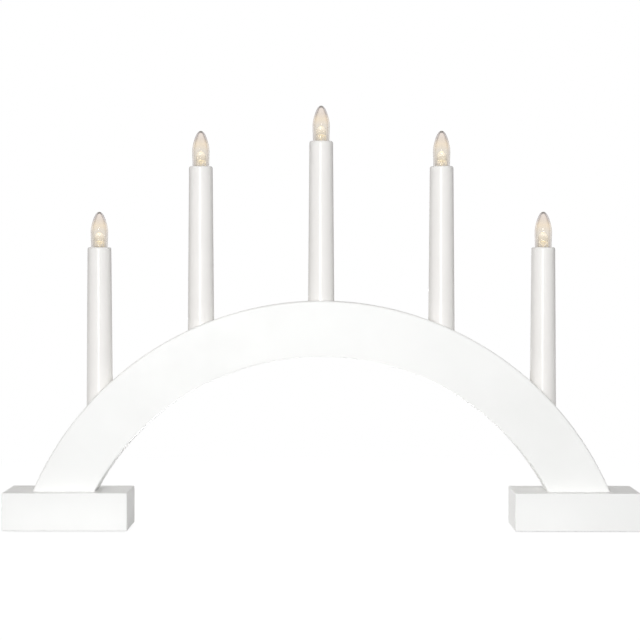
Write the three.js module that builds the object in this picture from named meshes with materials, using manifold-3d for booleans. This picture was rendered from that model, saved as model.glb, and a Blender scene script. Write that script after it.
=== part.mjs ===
// Electric window candlestick: a white painted arch board on two block feet carries five candle
// sleeves, each with a screw-in lamp whose holder is wired through a covered groove in the arch.
// Millimetres, +Z up, -Y the front. The origin is in the middle of the underside.

import * as THREE from "three";
import { mergeVertices } from "three/addons/utils/BufferGeometryUtils.js";
import { RoundedBoxGeometry } from "three/addons/geometries/RoundedBoxGeometry.js";
import Module from "manifold-3d";

const wasm = await Module();
wasm.setup();

// Gaps between pieces that are fitted together
const FIT_GAP = 0.3;
const SEAT_CLEARANCE = 0.25;

// Feet and their felt strips
const FOOT_LENGTH = 89;
const FOOT_DEPTH = 50;
const FOOT_HEIGHT = 27;
const FOOT_EDGE = 1;
const FOOT_SHIFT = 2; // each foot's middle lies this far inward of the leg's
const FELT_THICKNESS = 1;
const FELT_WIDTH = 14;
const FELT_MARGIN = 9;

// Arch board
const ARCH_OUTER_RADIUS = 224;
const ARCH_WIDTH = 40; // measured along the radius
const ARCH_DEPTH = 30; // front to back
const ARCH_RISE = 136; // crown above the top of the feet
const ARCH_EDGE = 1;

// Wiring groove in the underside of the arch, its cover strip and the cord's bush
const GROOVE_WIDTH = 8;
const GROOVE_DEPTH = 7;
const GROOVE_OVERRUN = 6; // past the middle of the last bore
const COVER_WIDTH = 12;
const COVER_THICKNESS = 1.3;
const BORE_DIAMETER = 7;
const GROMMET_DIAMETER = 8.4;
const GROMMET_WALL = 1.2;
const GROMMET_LENGTH = 10;
const GROMMET_FLANGE_WIDTH = 1.8;
const GROMMET_FLANGE_THICKNESS = 1.5;
const GROMMET_ARC = 22; // along the arch from the last wire bore
const GROMMET_COVER_GAP = 1; // wood left between the cover strip and the bush's bore

// Screws from each foot into its leg
const SCREW_DIAMETER = 4;
const SCREW_LENGTH = 45;
const SCREW_TIP = 4;
const SCREW_HEAD_DIAMETER = 8;
const SCREW_HEAD_HEIGHT = 2.4;
const SCREW_HEAD_RIM = 0.4;
const SCREW_SINK = 1;
const SCREW_SPACING = 16;
const DRIVE_LENGTH = 4.4;
const DRIVE_WIDTH = 1;
const DRIVE_DEPTH = 1.6;

// Candles: the angle between neighbours on the arch, and how deep each stands on its own axis
const CANDLE_STEP_DEG = 22.7;
const CROWN_SEAT_DEPTH = 12.5;
const INNER_SEAT_DEPTH = 13.2;
const OUTER_SEAT_DEPTH = 21.9;

// Candle sleeve, built outward from the lamp holder that it closes in
const SLEEVE_LENGTH = 127;
const SLEEVE_WALL = 1.2;
const SLEEVE_TAPER = 2.1; // the foot is this much wider than the top
const SLEEVE_LIP = 2;
const SLEEVE_EDGE = 1.6;
const BEAD_HEIGHT = 1.2;
const BEAD_OVERLAP = 0.6;

// Lamp: clear envelope, light-emitting diode on its post, and screw cap
const LAMP_HEIGHT = 25.5; // tip above the sleeve
const LAMP_DIAMETER = 12.4;
const LAMP_WIDEST = 11.3; // height of the widest part above the sleeve
const LAMP_NECK_DIAMETER = 11.9;
const LAMP_NECK_DEPTH = 4; // below the sleeve's top
const LAMP_WALL = 1.1;
const LAMP_TIP_RADIUS = 1.9;
const LAMP_FULLNESS = 0.3; // share of the upper part's height that keeps near the full width
const LAMP_NOSE_SLOPE = 0.11; // share of the same height that runs straight into the tip
const MOUTH_CLEARANCE = 0.35;
const LED_DIAMETER = 7.2;
const LED_HEIGHT = 11.6;
const LED_FLANGE_DIAMETER = 8;
const LED_FLANGE_HEIGHT = 1;
const LED_TOP = 10.8; // above the sleeve
const LED_POST_DIAMETER = 6.6;
const CAP_COLLAR_DIAMETER = 10;
const CAP_COLLAR_HEIGHT = 0.8;
const CAP_TAPER_HEIGHT = 1;
const CAP_BUTTON_DIAMETER = 4.4;
const CAP_BUTTON_HEIGHT = 1;

// Screw thread of cap and holder
const THREAD_DIAMETER = 9.53;
const THREAD_DEPTH = 0.5;
const THREAD_PITCH = 1.814;
const THREAD_LENGTH = 7.4;
const THREAD_CLEARANCE = 0.35;
const THREAD_SIDES = 12;

// Lamp holder with its threaded shell, sprung contact pin and wire terminals
const SHELL_WALL = 0.5;
const HOLDER_WALL = 1.15;
const HOLDER_RIM = 0.7;
const HOLDER_FLOOR = 6.3;
const CONTACT_HEAD_DIAMETER = 5;
const CONTACT_HEAD_HEIGHT = 1;
const CONTACT_STEM_DIAMETER = 2.4;
const CONTACT_STEM_LENGTH = 10;
const SPRING_HEIGHT = 4.2;
const SPRING_TURNS = 4;
const SPRING_DIAMETER = 4;
const SPRING_WIRE = 0.5;
const TERMINAL_OFFSET = 4;
const TERMINAL_DEPTH = 4;

// Wiring
const WIRE_DIAMETER = 2;
const WIRE_BEND = 4;
const WIRE_GATHER = 20; // height above the seat where a wire leaves its straight run
const WIRE_SPREAD = 3; // between the two wires that share the groove or a bore

// Fineness of the round shapes
const ARCH_STEPS = 24;
const SLEEVE_SIDES = 16;
const SMALL_SIDES = 12;
const WIRE_SIDES = 6;
const SPRING_STEPS = 6;
const SPRING_SIDES = 4;
const ENVELOPE_OUTER_STEPS = 3;
const ENVELOPE_INNER_STEPS = 2;
const WIRE_BEND_STEPS = 3;
const WIRE_ARC_STEP = THREE.MathUtils.degToRad(6);

// Sizes that follow from the driving ones
const ARCH_INNER_RADIUS = ARCH_OUTER_RADIUS - ARCH_WIDTH;
const FOOT_TOP = FELT_THICKNESS + FOOT_HEIGHT;
const ARCH_CENTRE_Z = FOOT_TOP + ARCH_RISE - ARCH_OUTER_RADIUS;
const LEG_OUTER_X = legX(ARCH_OUTER_RADIUS, 0);
const LEG_INNER_X = legX(ARCH_INNER_RADIUS, 0);
const FOOT_X = (LEG_OUTER_X + LEG_INNER_X) / 2 - FOOT_SHIFT;
const SCREW_GRIP = SCREW_LENGTH - (FOOT_HEIGHT - SCREW_SINK);
const SCREW_X = (legX(ARCH_OUTER_RADIUS, SCREW_GRIP / 2) + legX(ARCH_INNER_RADIUS, SCREW_GRIP / 2)) / 2;

const SHELL_RADIUS = THREAD_DIAMETER / 2 + THREAD_CLEARANCE + SHELL_WALL;
const SHELL_BORE = SHELL_RADIUS + SEAT_CLEARANCE;
const MOUTH_RADIUS = LAMP_NECK_DIAMETER / 2 + MOUTH_CLEARANCE;
const HOLDER_RADIUS = Math.max(SHELL_BORE + HOLDER_WALL, MOUTH_RADIUS + HOLDER_RIM);
const SLEEVE_TOP_RADIUS = HOLDER_RADIUS + FIT_GAP + SLEEVE_WALL;
const SLEEVE_FOOT_RADIUS = SLEEVE_TOP_RADIUS + SLEEVE_TAPER / 2;

// Heights inside a candle, measured from the top of its sleeve
const CAP_TOP = -LAMP_NECK_DEPTH - FIT_GAP;
const THREAD_TOP = CAP_TOP - CAP_COLLAR_HEIGHT;
const THREAD_BOTTOM = THREAD_TOP - THREAD_LENGTH;
const CAP_BOTTOM = THREAD_BOTTOM - CAP_TAPER_HEIGHT - CAP_BUTTON_HEIGHT;
const HOLDER_TOP = -SLEEVE_LIP - FIT_GAP;
const SHELL_BOTTOM = THREAD_BOTTOM - CAP_TAPER_HEIGHT;
const CONTACT_TOP = CAP_BOTTOM - FIT_GAP;
const SPRING_TOP = CONTACT_TOP - CONTACT_HEAD_HEIGHT - FIT_GAP;
const CHAMBER_FLOOR = SPRING_TOP - SPRING_HEIGHT - FIT_GAP;
const HOLDER_BOTTOM = CHAMBER_FLOOR - HOLDER_FLOOR;
const LED_SEAT = LED_TOP - LED_HEIGHT;

const GROOVE_ROOF = ARCH_INNER_RADIUS + GROOVE_DEPTH;
const GROMMET_BORE = GROMMET_DIAMETER / 2 + SEAT_CLEARANCE;
const REBATE_RADIUS = ARCH_INNER_RADIUS + COVER_THICKNESS + FIT_GAP;
const WIRE_RADIUS_IN_ARCH = REBATE_RADIUS + WIRE_DIAMETER / 2;
const GROMMET_RADIUS_IN_ARCH = REBATE_RADIUS + GROMMET_COVER_GAP + GROMMET_BORE;

const CANDLES = [-2, -1, 0, 1, 2].map((place) => {
  const angle = THREE.MathUtils.degToRad(place * CANDLE_STEP_DEG);
  const surface = onArch(ARCH_OUTER_RADIUS, angle);
  const seatZ = surface.z - [CROWN_SEAT_DEPTH, INNER_SEAT_DEPTH, OUTER_SEAT_DEPTH][Math.abs(place)];
  const boreAngle = Math.atan2(surface.x, seatZ - ARCH_CENTRE_Z);
  const seatRadius = Math.hypot(surface.x, seatZ - ARCH_CENTRE_Z);
  return { number: place + 3, x: surface.x, seatZ, boreAngle, seatRadius };
});
const FIRST_CANDLE = CANDLES[0];
const LAST_CANDLE = CANDLES[CANDLES.length - 1];
const GROMMET_ANGLE = LAST_CANDLE.boreAngle + GROMMET_ARC / ARCH_INNER_RADIUS;
const GROOVE_START = FIRST_CANDLE.boreAngle - GROOVE_OVERRUN / ARCH_INNER_RADIUS;
const GROOVE_END = GROMMET_ANGLE + GROOVE_OVERRUN / ARCH_INNER_RADIUS;

const PAINTED_BOARD = { color: 0xf4f4f2, roughness: 0.45, metalness: 0 };
const GLOSS_SLEEVE = { color: 0xebe9e5, roughness: 0.22, metalness: 0 };
const CLEAR_PLASTIC = { color: 0xf6efe2, roughness: 0.05, metalness: 0, transparent: true, opacity: 0.35 };
const LED_RESIN = { color: 0xffe2a0, roughness: 0.15, metalness: 0, emissive: 0xffd27a };
const NICKEL = { color: 0xc9c6bf, roughness: 0.25, metalness: 1 };
const BRASS = { color: 0xd1a853, roughness: 0.3, metalness: 1 };
const STEEL = { color: 0xb9bbbd, roughness: 0.35, metalness: 1 };
const HOLDER_PLASTIC = { color: 0xeeece6, roughness: 0.6, metalness: 0 };
const WIRE_SHEATH = { color: 0xf0efec, roughness: 0.5, metalness: 0 };
const FELT = { color: 0xd9d7d2, roughness: 0.95, metalness: 0 };

// Half the arch's span at a height above the feet, on the circle of the given radius
function legX(radius, height) {
  const drop = ARCH_OUTER_RADIUS - ARCH_RISE + height;
  return Math.sqrt(radius ** 2 - drop ** 2);
}

// A point of the arch at a radius and at an angle from the crown
function onArch(radius, angle, y = 0) {
  return new THREE.Vector3(radius * Math.sin(angle), y, ARCH_CENTRE_Z + radius * Math.cos(angle));
}

function solidOf(geometry) {
  const bare = new THREE.BufferGeometry();
  bare.setAttribute("position", geometry.getAttribute("position"));
  bare.setIndex(geometry.getIndex());
  const merged = mergeVertices(bare);
  const index = merged.getIndex().array;
  const triangles = [];
  for (let i = 0; i < index.length; i += 3) {
    const [a, b, c] = [index[i], index[i + 1], index[i + 2]];
    if (a !== b && b !== c && c !== a) triangles.push(a, b, c);
  }
  const vertProperties = new Float32Array(merged.getAttribute("position").array);
  const triVerts = new Uint32Array(triangles);
  return new wasm.Manifold(new wasm.Mesh({ numProp: 3, vertProperties, triVerts }));
}

function geometryOf(solid) {
  const mesh = solid.getMesh();
  const geometry = new THREE.BufferGeometry();
  geometry.setAttribute("position", new THREE.BufferAttribute(mesh.vertProperties, 3));
  geometry.setIndex(new THREE.BufferAttribute(mesh.triVerts, 1));
  return geometry;
}

function cut(geometry, tools) {
  return geometryOf(tools.reduce((solid, tool) => solid.subtract(solidOf(tool)), solidOf(geometry)));
}

function join(first, second) {
  return geometryOf(solidOf(first).add(solidOf(second)));
}

function common(first, second) {
  return geometryOf(solidOf(first).intersect(solidOf(second)));
}

// A turned shape about Z. The outline is [radius, height] pairs, up the outside and down the
// inside; one that starts off the axis closes on itself.
function turned(outline, sides) {
  const points = outline.map(([r, z]) => new THREE.Vector2(r, z));
  if (outline[0][0] > 0) points.push(points[0].clone());
  return new THREE.LatheGeometry(points, sides).rotateX(Math.PI / 2);
}

function disc(radius, low, high, sides) {
  return turned([[0, low], [radius, low], [radius, high], [0, high]], sides);
}

// A round bar from one point to another
function bar(start, end, radius, sides) {
  const along = end.clone().sub(start);
  const heading = along.clone().normalize();
  const turn = new THREE.Quaternion().setFromUnitVectors(new THREE.Vector3(0, 1, 0), heading);
  const middle = start.clone().add(end).multiplyScalar(0.5);
  return new THREE.CylinderGeometry(radius, radius, along.length(), sides)
    .applyQuaternion(turn)
    .translate(middle.x, middle.y, middle.z);
}

// A flat outline in X and Z made into a board of the given depth, its middle at y = 0
function board(outline, depth, edge) {
  const settings = {
    depth: depth - 2 * edge,
    curveSegments: ARCH_STEPS,
    bevelEnabled: edge > 0,
    bevelThickness: edge,
    bevelSize: edge,
    bevelOffset: -edge,
    bevelSegments: 1,
  };
  return new THREE.ExtrudeGeometry(outline, settings).rotateX(Math.PI / 2).translate(0, depth / 2 - edge, 0);
}

// A stretch of ring about the arch's centre, between two radii and two angles from the crown
function ringStretch(inner, outer, start, end, depth) {
  const outline = new THREE.Shape();
  outline.absarc(0, ARCH_CENTRE_Z, outer, Math.PI / 2 - start, Math.PI / 2 - end, true);
  outline.absarc(0, ARCH_CENTRE_Z, inner, Math.PI / 2 - end, Math.PI / 2 - start, false);
  return board(outline, depth, 0);
}

// A screw-threaded rod about Z, longer than the stretch asked for and trimmed flat to it.
// Rows of points follow the helix, two to each turn of the thread: its root and its crest.
function threadedRod(radius, low, high) {
  const root = radius - THREAD_DEPTH;
  const rows = [[0, root], [0.5, radius]];
  const turns = Math.ceil((high - low) / THREAD_PITCH) + 3;
  const startTurn = Math.floor(low / THREAD_PITCH) - 1;
  const levels = turns * rows.length;
  const positions = [];
  for (let side = 0; side < THREAD_SIDES; side++) {
    const share = side / THREAD_SIDES;
    for (let level = 0; level <= levels; level++) {
      const [phase, r] = rows[level % rows.length];
      const turn = startTurn + Math.floor(level / rows.length) + phase + share;
      const angle = share * 2 * Math.PI;
      positions.push(r * Math.cos(angle), r * Math.sin(angle), turn * THREAD_PITCH);
    }
  }
  const stride = levels + 1;
  const triangles = [];
  const point = (side, level) => (side < THREAD_SIDES ? side * stride + level : level + rows.length);
  const last = (side) => (side < THREAD_SIDES - 1 ? levels : levels - rows.length);
  for (let side = 0; side < THREAD_SIDES; side++) {
    for (let level = 0; level < last(side); level++) {
      const here = point(side, level);
      const across = point(side + 1, level + 1);
      triangles.push(here, point(side + 1, level), across);
      triangles.push(here, across, point(side, level + 1));
    }
  }
  // Each end is a fan from the axis round the last row and up the step where the turns meet.
  const bottomRing = [];
  const topRing = [];
  for (let side = 0; side < THREAD_SIDES; side++) {
    bottomRing.push(point(side, 0));
    topRing.push(point(side, levels));
  }
  for (let level = rows.length; level > 0; level--) bottomRing.push(point(0, level));
  for (let level = 1; level <= rows.length; level++) {
    topRing.push(point(THREAD_SIDES - 1, levels - level));
  }
  addFan(positions, triangles, bottomRing, (startTurn - 1) * THREAD_PITCH, false);
  addFan(positions, triangles, topRing, (startTurn + turns + 2) * THREAD_PITCH, true);
  const rod = new THREE.BufferGeometry();
  rod.setAttribute("position", new THREE.Float32BufferAttribute(positions, 3));
  rod.setIndex(triangles);
  return common(rod, disc(radius + THREAD_DEPTH, low, high, THREAD_SIDES));
}

function addFan(positions, triangles, ring, apexZ, upward) {
  const apex = positions.length / 3;
  positions.push(0, 0, apexZ);
  ring.forEach((from, i) => {
    const to = ring[(i + 1) % ring.length];
    triangles.push(...(upward ? [apex, from, to] : [apex, to, from]));
  });
}

// A curve that is sampled at its own points, so that bends keep their points and straights stay few
class Route extends THREE.CatmullRomCurve3 {
  getPointAt(share, target) {
    return this.getPoint(share, target);
  }
  getTangentAt(share, target) {
    return this.getTangent(share, target);
  }
}

// A round wire through the given points, one step to each stretch between them
function tube(points, diameter, sides) {
  const section = new THREE.Shape();
  for (let side = 0; side < sides; side++) {
    const angle = (side / sides) * 2 * Math.PI;
    const corner = new THREE.Vector2(Math.cos(angle), Math.sin(angle)).multiplyScalar(diameter / 2);
    if (side === 0) section.moveTo(corner.x, corner.y);
    else section.lineTo(corner.x, corner.y);
  }
  section.closePath();
  const extrudePath = new Route(points, false, "centripetal");
  return new THREE.ExtrudeGeometry(section, { steps: points.length - 1, extrudePath, bevelEnabled: false });
}

function screwOutline(gap) {
  const head = SCREW_HEAD_DIAMETER / 2 + gap;
  const shank = SCREW_DIAMETER / 2 + gap;
  return { head, shank, rim: SCREW_HEAD_RIM, neck: SCREW_HEAD_HEIGHT };
}

// A countersunk wood screw, its head's flat face down at z = 0
function footScrew() {
  const { head, shank, rim, neck } = screwOutline(0);
  const screw = turned(
    [[0, 0], [head, 0], [head, rim], [shank, neck], [shank, SCREW_LENGTH - SCREW_TIP], [0, SCREW_LENGTH]],
    SMALL_SIDES,
  );
  const depth = 2 * DRIVE_DEPTH;
  const slots = [
    new THREE.BoxGeometry(DRIVE_LENGTH, DRIVE_WIDTH, depth),
    new THREE.BoxGeometry(DRIVE_WIDTH, DRIVE_LENGTH, depth),
  ];
  return cut(screw, slots);
}

// The hole that takes a foot screw, open below the head
function screwHole() {
  const { head, shank, rim, neck } = screwOutline(SEAT_CLEARANCE);
  const below = -2 * SCREW_SINK - FELT_THICKNESS;
  const end = SCREW_LENGTH + FIT_GAP;
  return turned([[0, below], [head, below], [head, rim], [shank, neck], [shank, end], [0, end]], SMALL_SIDES);
}

function screwPlaces(side) {
  return [-1, 1].map((end) => new THREE.Vector3(
    side * (SCREW_X + end * SCREW_SPACING / 2), 0, FELT_THICKNESS + SCREW_SINK,
  ));
}

function screwHoles(side) {
  return screwPlaces(side).map((place) => screwHole().translate(place.x, place.y, place.z));
}

function archBoard() {
  const outline = new THREE.Shape();
  const drop = ARCH_OUTER_RADIUS - ARCH_RISE;
  const outerAngle = Math.asin(drop / ARCH_OUTER_RADIUS);
  const innerAngle = Math.asin(drop / ARCH_INNER_RADIUS);
  outline.absarc(0, ARCH_CENTRE_Z, ARCH_OUTER_RADIUS, Math.PI - outerAngle, outerAngle, true);
  outline.absarc(0, ARCH_CENTRE_Z, ARCH_INNER_RADIUS, innerAngle, Math.PI - innerAngle, false);

  const tools = CANDLES.flatMap((candle) => {
    const socket = disc(SLEEVE_FOOT_RADIUS + SEAT_CLEARANCE, -FIT_GAP, SLEEVE_LENGTH, SLEEVE_SIDES)
      .translate(candle.x, 0, candle.seatZ);
    const boreStart = onArch(GROOVE_ROOF - FIT_GAP, candle.boreAngle);
    const boreEnd = onArch(candle.seatRadius + BORE_DIAMETER, candle.boreAngle);
    return [socket, bar(boreStart, boreEnd, BORE_DIAMETER / 2, SMALL_SIDES)];
  });
  const below = ARCH_INNER_RADIUS - GROOVE_DEPTH;
  tools.push(ringStretch(below, GROOVE_ROOF, GROOVE_START, GROOVE_END, GROOVE_WIDTH));
  tools.push(ringStretch(below, REBATE_RADIUS, GROOVE_START, GROOVE_END, COVER_WIDTH + 2 * FIT_GAP));
  const cordIn = onArch(GROMMET_RADIUS_IN_ARCH, GROMMET_ANGLE, ARCH_DEPTH);
  const cordEnd = onArch(GROMMET_RADIUS_IN_ARCH, GROMMET_ANGLE, -GROOVE_WIDTH / 2);
  tools.push(bar(cordIn, cordEnd, GROMMET_BORE, SMALL_SIDES));
  tools.push(...screwHoles(-1), ...screwHoles(1));
  return cut(board(outline, ARCH_DEPTH, ARCH_EDGE), tools);
}

function grooveCover() {
  const margin = FIT_GAP / ARCH_INNER_RADIUS;
  const outer = ARCH_INNER_RADIUS + COVER_THICKNESS;
  return ringStretch(ARCH_INNER_RADIUS, outer, GROOVE_START + margin, GROOVE_END - margin, COVER_WIDTH);
}

// The bush that lines the cord's way in, flange to the rear
function cordGrommet() {
  const outer = GROMMET_DIAMETER / 2;
  const hole = outer - GROMMET_WALL;
  const flange = outer + GROMMET_FLANGE_WIDTH;
  const bush = turned(
    [
      [outer, -GROMMET_LENGTH], [outer, FIT_GAP], [flange, FIT_GAP],
      [flange, FIT_GAP + GROMMET_FLANGE_THICKNESS], [hole, FIT_GAP + GROMMET_FLANGE_THICKNESS],
      [hole, -GROMMET_LENGTH],
    ],
    SMALL_SIDES,
  );
  const place = onArch(GROMMET_RADIUS_IN_ARCH, GROMMET_ANGLE, ARCH_DEPTH / 2);
  return bush.rotateX(-Math.PI / 2).translate(place.x, place.y, place.z);
}

function foot(side) {
  const block = new RoundedBoxGeometry(FOOT_LENGTH, FOOT_DEPTH, FOOT_HEIGHT, 1, FOOT_EDGE);
  return cut(block.translate(side * FOOT_X, 0, FOOT_TOP - FOOT_HEIGHT / 2), screwHoles(side));
}

function feltStrip(side, end) {
  const fromMiddle = FOOT_LENGTH / 2 - FELT_MARGIN - FELT_WIDTH / 2;
  return new THREE.BoxGeometry(FELT_WIDTH, FOOT_DEPTH - 2 * FELT_MARGIN, FELT_THICKNESS)
    .translate(side * (FOOT_X + end * fromMiddle), 0, FELT_THICKNESS / 2);
}

// The sleeve tapers towards a rounded top with the lamp's mouth in it. A bead inside carries the
// lamp holder. Heights are from the sleeve's top.
function candleSleeve() {
  const outerAt = (z) => SLEEVE_TOP_RADIUS - (z / SLEEVE_LENGTH) * (SLEEVE_TAPER / 2);
  const innerAt = (z) => outerAt(z) - SLEEVE_WALL;
  const beadTop = HOLDER_BOTTOM - FIT_GAP;
  const bead = HOLDER_RADIUS - BEAD_OVERLAP;
  const half = SLEEVE_EDGE * (1 - Math.SQRT1_2);
  return turned(
    [
      [innerAt(-SLEEVE_LENGTH), -SLEEVE_LENGTH], [outerAt(-SLEEVE_LENGTH), -SLEEVE_LENGTH],
      [outerAt(-SLEEVE_EDGE), -SLEEVE_EDGE], [SLEEVE_TOP_RADIUS - half, -half],
      [SLEEVE_TOP_RADIUS - SLEEVE_EDGE, 0], [MOUTH_RADIUS, 0], [MOUTH_RADIUS, -SLEEVE_LIP],
      [innerAt(-SLEEVE_LIP), -SLEEVE_LIP], [innerAt(beadTop), beadTop], [bead, beadTop],
      [bead, beadTop - BEAD_HEIGHT], [innerAt(beadTop), beadTop - 2 * BEAD_HEIGHT],
    ],
    SLEEVE_SIDES,
  );
}

function lampHolder() {
  const chamber = CONTACT_HEAD_DIAMETER / 2 + SEAT_CLEARANCE;
  const stem = CONTACT_STEM_DIAMETER / 2 + SEAT_CLEARANCE;
  const seat = SHELL_BOTTOM - FIT_GAP;
  const body = turned(
    [
      [stem, HOLDER_BOTTOM], [HOLDER_RADIUS, HOLDER_BOTTOM], [HOLDER_RADIUS, HOLDER_TOP],
      [MOUTH_RADIUS, HOLDER_TOP], [MOUTH_RADIUS, THREAD_TOP], [SHELL_BORE, THREAD_TOP],
      [SHELL_BORE, seat], [chamber, seat], [chamber, CHAMBER_FLOOR], [stem, CHAMBER_FLOOR],
    ],
    SMALL_SIDES,
  );
  const low = HOLDER_BOTTOM - FIT_GAP;
  const high = HOLDER_BOTTOM + TERMINAL_DEPTH;
  const terminals = [-1, 1].map((side) =>
    disc(WIRE_DIAMETER / 2 + SEAT_CLEARANCE, low, high, WIRE_SIDES).translate(side * TERMINAL_OFFSET, 0, 0),
  );
  return cut(body, terminals);
}

function threadShell() {
  const rim = THREAD_TOP - FIT_GAP;
  const blank = disc(SHELL_RADIUS, SHELL_BOTTOM, rim, SMALL_SIDES);
  const threadRadius = THREAD_DIAMETER / 2 + THREAD_CLEARANCE;
  return cut(blank, [threadedRod(threadRadius, SHELL_BOTTOM - FIT_GAP, rim + FIT_GAP)]);
}

function contactPin() {
  const head = CONTACT_HEAD_DIAMETER / 2;
  const stem = CONTACT_STEM_DIAMETER / 2;
  const shoulder = CONTACT_TOP - CONTACT_HEAD_HEIGHT;
  const end = shoulder - CONTACT_STEM_LENGTH;
  return turned(
    [[0, end], [stem, end], [stem, shoulder], [head, shoulder], [head, CONTACT_TOP], [0, CONTACT_TOP]],
    THREAD_SIDES,
  );
}

function contactSpring() {
  const steps = SPRING_TURNS * SPRING_STEPS;
  const rise = SPRING_HEIGHT - SPRING_WIRE;
  const radius = (SPRING_DIAMETER - SPRING_WIRE) / 2;
  const points = [];
  for (let step = 0; step <= steps; step++) {
    const angle = (step / SPRING_STEPS) * 2 * Math.PI;
    const z = SPRING_TOP - SPRING_HEIGHT + SPRING_WIRE / 2 + (rise * step) / steps;
    points.push(new THREE.Vector3(radius * Math.cos(angle), radius * Math.sin(angle), z));
  }
  return tube(points, SPRING_WIRE, SPRING_SIDES);
}

// The envelope's outside from neck to tip, drawn in by a wall's thickness for its inside
function envelopeProfile(inset, steps) {
  const neck = LAMP_NECK_DIAMETER / 2 - inset;
  const widest = LAMP_DIAMETER / 2 - inset;
  const tip = LAMP_HEIGHT - inset;
  const nose = Math.max(LAMP_TIP_RADIUS - inset / 2, inset / 2);
  const shoulder = tip - nose / 2;
  const rise = shoulder - LAMP_WIDEST;
  const curve = new THREE.Path();
  curve.moveTo(neck, 0);
  curve.bezierCurveTo(neck, LAMP_WIDEST / 3, widest, LAMP_WIDEST * (2 / 3), widest, LAMP_WIDEST);
  const full = LAMP_WIDEST + rise * LAMP_FULLNESS;
  curve.bezierCurveTo(widest, full, nose * 2, shoulder - rise * LAMP_NOSE_SLOPE, nose, shoulder);
  curve.quadraticCurveTo(nose / 2, tip, 0, tip);
  return curve.getPoints(steps).map((point) => [point.x, point.y]);
}

function bulbEnvelope() {
  const outside = envelopeProfile(0, ENVELOPE_OUTER_STEPS);
  const inside = envelopeProfile(LAMP_WALL, ENVELOPE_INNER_STEPS).reverse();
  const neck = LAMP_NECK_DIAMETER / 2;
  const profile = [...outside, ...inside, [neck - LAMP_WALL, -LAMP_NECK_DEPTH], [neck, -LAMP_NECK_DEPTH]];
  return turned(profile, SMALL_SIDES);
}

function bulbLed() {
  const post = LED_POST_DIAMETER / 2;
  const flange = LED_FLANGE_DIAMETER / 2;
  const body = LED_DIAMETER / 2;
  const dome = LED_TOP - body;
  return turned(
    [
      [0, -LAMP_NECK_DEPTH], [post, -LAMP_NECK_DEPTH], [post, LED_SEAT], [flange, LED_SEAT],
      [flange, LED_SEAT + LED_FLANGE_HEIGHT], [body, LED_SEAT + LED_FLANGE_HEIGHT], [body, dome],
      [body * Math.cos(Math.PI / 6), dome + body * Math.sin(Math.PI / 6)],
      [body * Math.cos(Math.PI / 3), dome + body * Math.sin(Math.PI / 3)], [0, LED_TOP],
    ],
    THREAD_SIDES,
  );
}

function bulbCap() {
  const core = THREAD_DIAMETER / 2 - 2 * THREAD_DEPTH;
  const collar = CAP_COLLAR_DIAMETER / 2;
  const button = CAP_BUTTON_DIAMETER / 2;
  const waist = CAP_BOTTOM + CAP_BUTTON_HEIGHT;
  const body = turned(
    [
      [0, CAP_BOTTOM], [button, CAP_BOTTOM], [button, waist], [core, THREAD_BOTTOM], [core, THREAD_TOP],
      [collar, THREAD_TOP], [collar, CAP_TOP], [0, CAP_TOP],
    ],
    THREAD_SIDES,
  );
  return join(body, threadedRod(THREAD_DIAMETER / 2, THREAD_BOTTOM, THREAD_TOP));
}

// The way of a wire from a holder's terminal down its sleeve and wire bore into the groove.
// side picks the terminal, heading the way that the wire turns along the arch.
function wireDrop(candle, side, heading, y) {
  const top = candle.seatZ + SLEEVE_LENGTH + HOLDER_BOTTOM;
  const end = top + TERMINAL_DEPTH - FIT_GAP;
  const offset = (side * WIRE_SPREAD) / 2;
  const across = (radius, shift) => onArch(radius, candle.boreAngle + shift / radius, y);
  const x = candle.x + side * TERMINAL_OFFSET;
  const points = [new THREE.Vector3(x, 0, end), new THREE.Vector3(x, 0, top - WIRE_BEND)];
  points.push(new THREE.Vector3(x, y, candle.seatZ + WIRE_GATHER));
  points.push(across(candle.seatRadius + WIRE_BEND, offset));
  points.push(across(candle.seatRadius - WIRE_BEND, offset));
  const bendRadius = WIRE_RADIUS_IN_ARCH + WIRE_BEND;
  for (let step = 0; step <= WIRE_BEND_STEPS; step++) {
    const turn = (step / WIRE_BEND_STEPS) * (Math.PI / 2);
    const shift = offset + heading * WIRE_BEND * (1 - Math.cos(turn));
    points.push(across(bendRadius - WIRE_BEND * Math.sin(turn), shift));
  }
  return points;
}

// Points along the groove between two angles, both ends left out
function alongGroove(from, to, y) {
  const steps = Math.max(2, Math.round(Math.abs(to - from) / WIRE_ARC_STEP));
  const points = [];
  for (let step = 1; step < steps; step++) {
    points.push(onArch(WIRE_RADIUS_IN_ARCH, from + ((to - from) * step) / steps, y));
  }
  return points;
}

function angleOf(point) {
  return Math.atan2(point.x, point.z - ARCH_CENTRE_Z);
}

function wireBetween(down, up, y) {
  const middle = alongGroove(angleOf(down[down.length - 1]), angleOf(up[0]), y);
  return tube([...down, ...middle, ...up], WIRE_DIAMETER, WIRE_SIDES);
}

// The way of a supply wire from the bush, side by side with the other, into the groove
function wireFromGrommet(side, y) {
  const shift = (side * WIRE_SPREAD) / 2;
  const at = (radius, along, depth) => onArch(radius, GROMMET_ANGLE + along / ARCH_INNER_RADIUS, depth);
  const middle = (GROMMET_RADIUS_IN_ARCH + WIRE_RADIUS_IN_ARCH) / 2;
  return [
    at(GROMMET_RADIUS_IN_ARCH, shift, ARCH_DEPTH / 2 - FIT_GAP),
    at(GROMMET_RADIUS_IN_ARCH, shift, y + 2 * WIRE_BEND),
    at(GROMMET_RADIUS_IN_ARCH, shift, y + WIRE_BEND),
    at(middle, shift - WIRE_BEND / 2, y + WIRE_BEND / 4),
    at(WIRE_RADIUS_IN_ARCH, shift - 1.5 * WIRE_BEND, y),
  ];
}

const linkY = -WIRE_SPREAD / 2;
const returnY = WIRE_SPREAD / 2;

function linkWire(left, right) {
  return wireBetween(wireDrop(left, 1, 1, linkY), wireDrop(right, -1, -1, linkY).reverse(), linkY);
}

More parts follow.
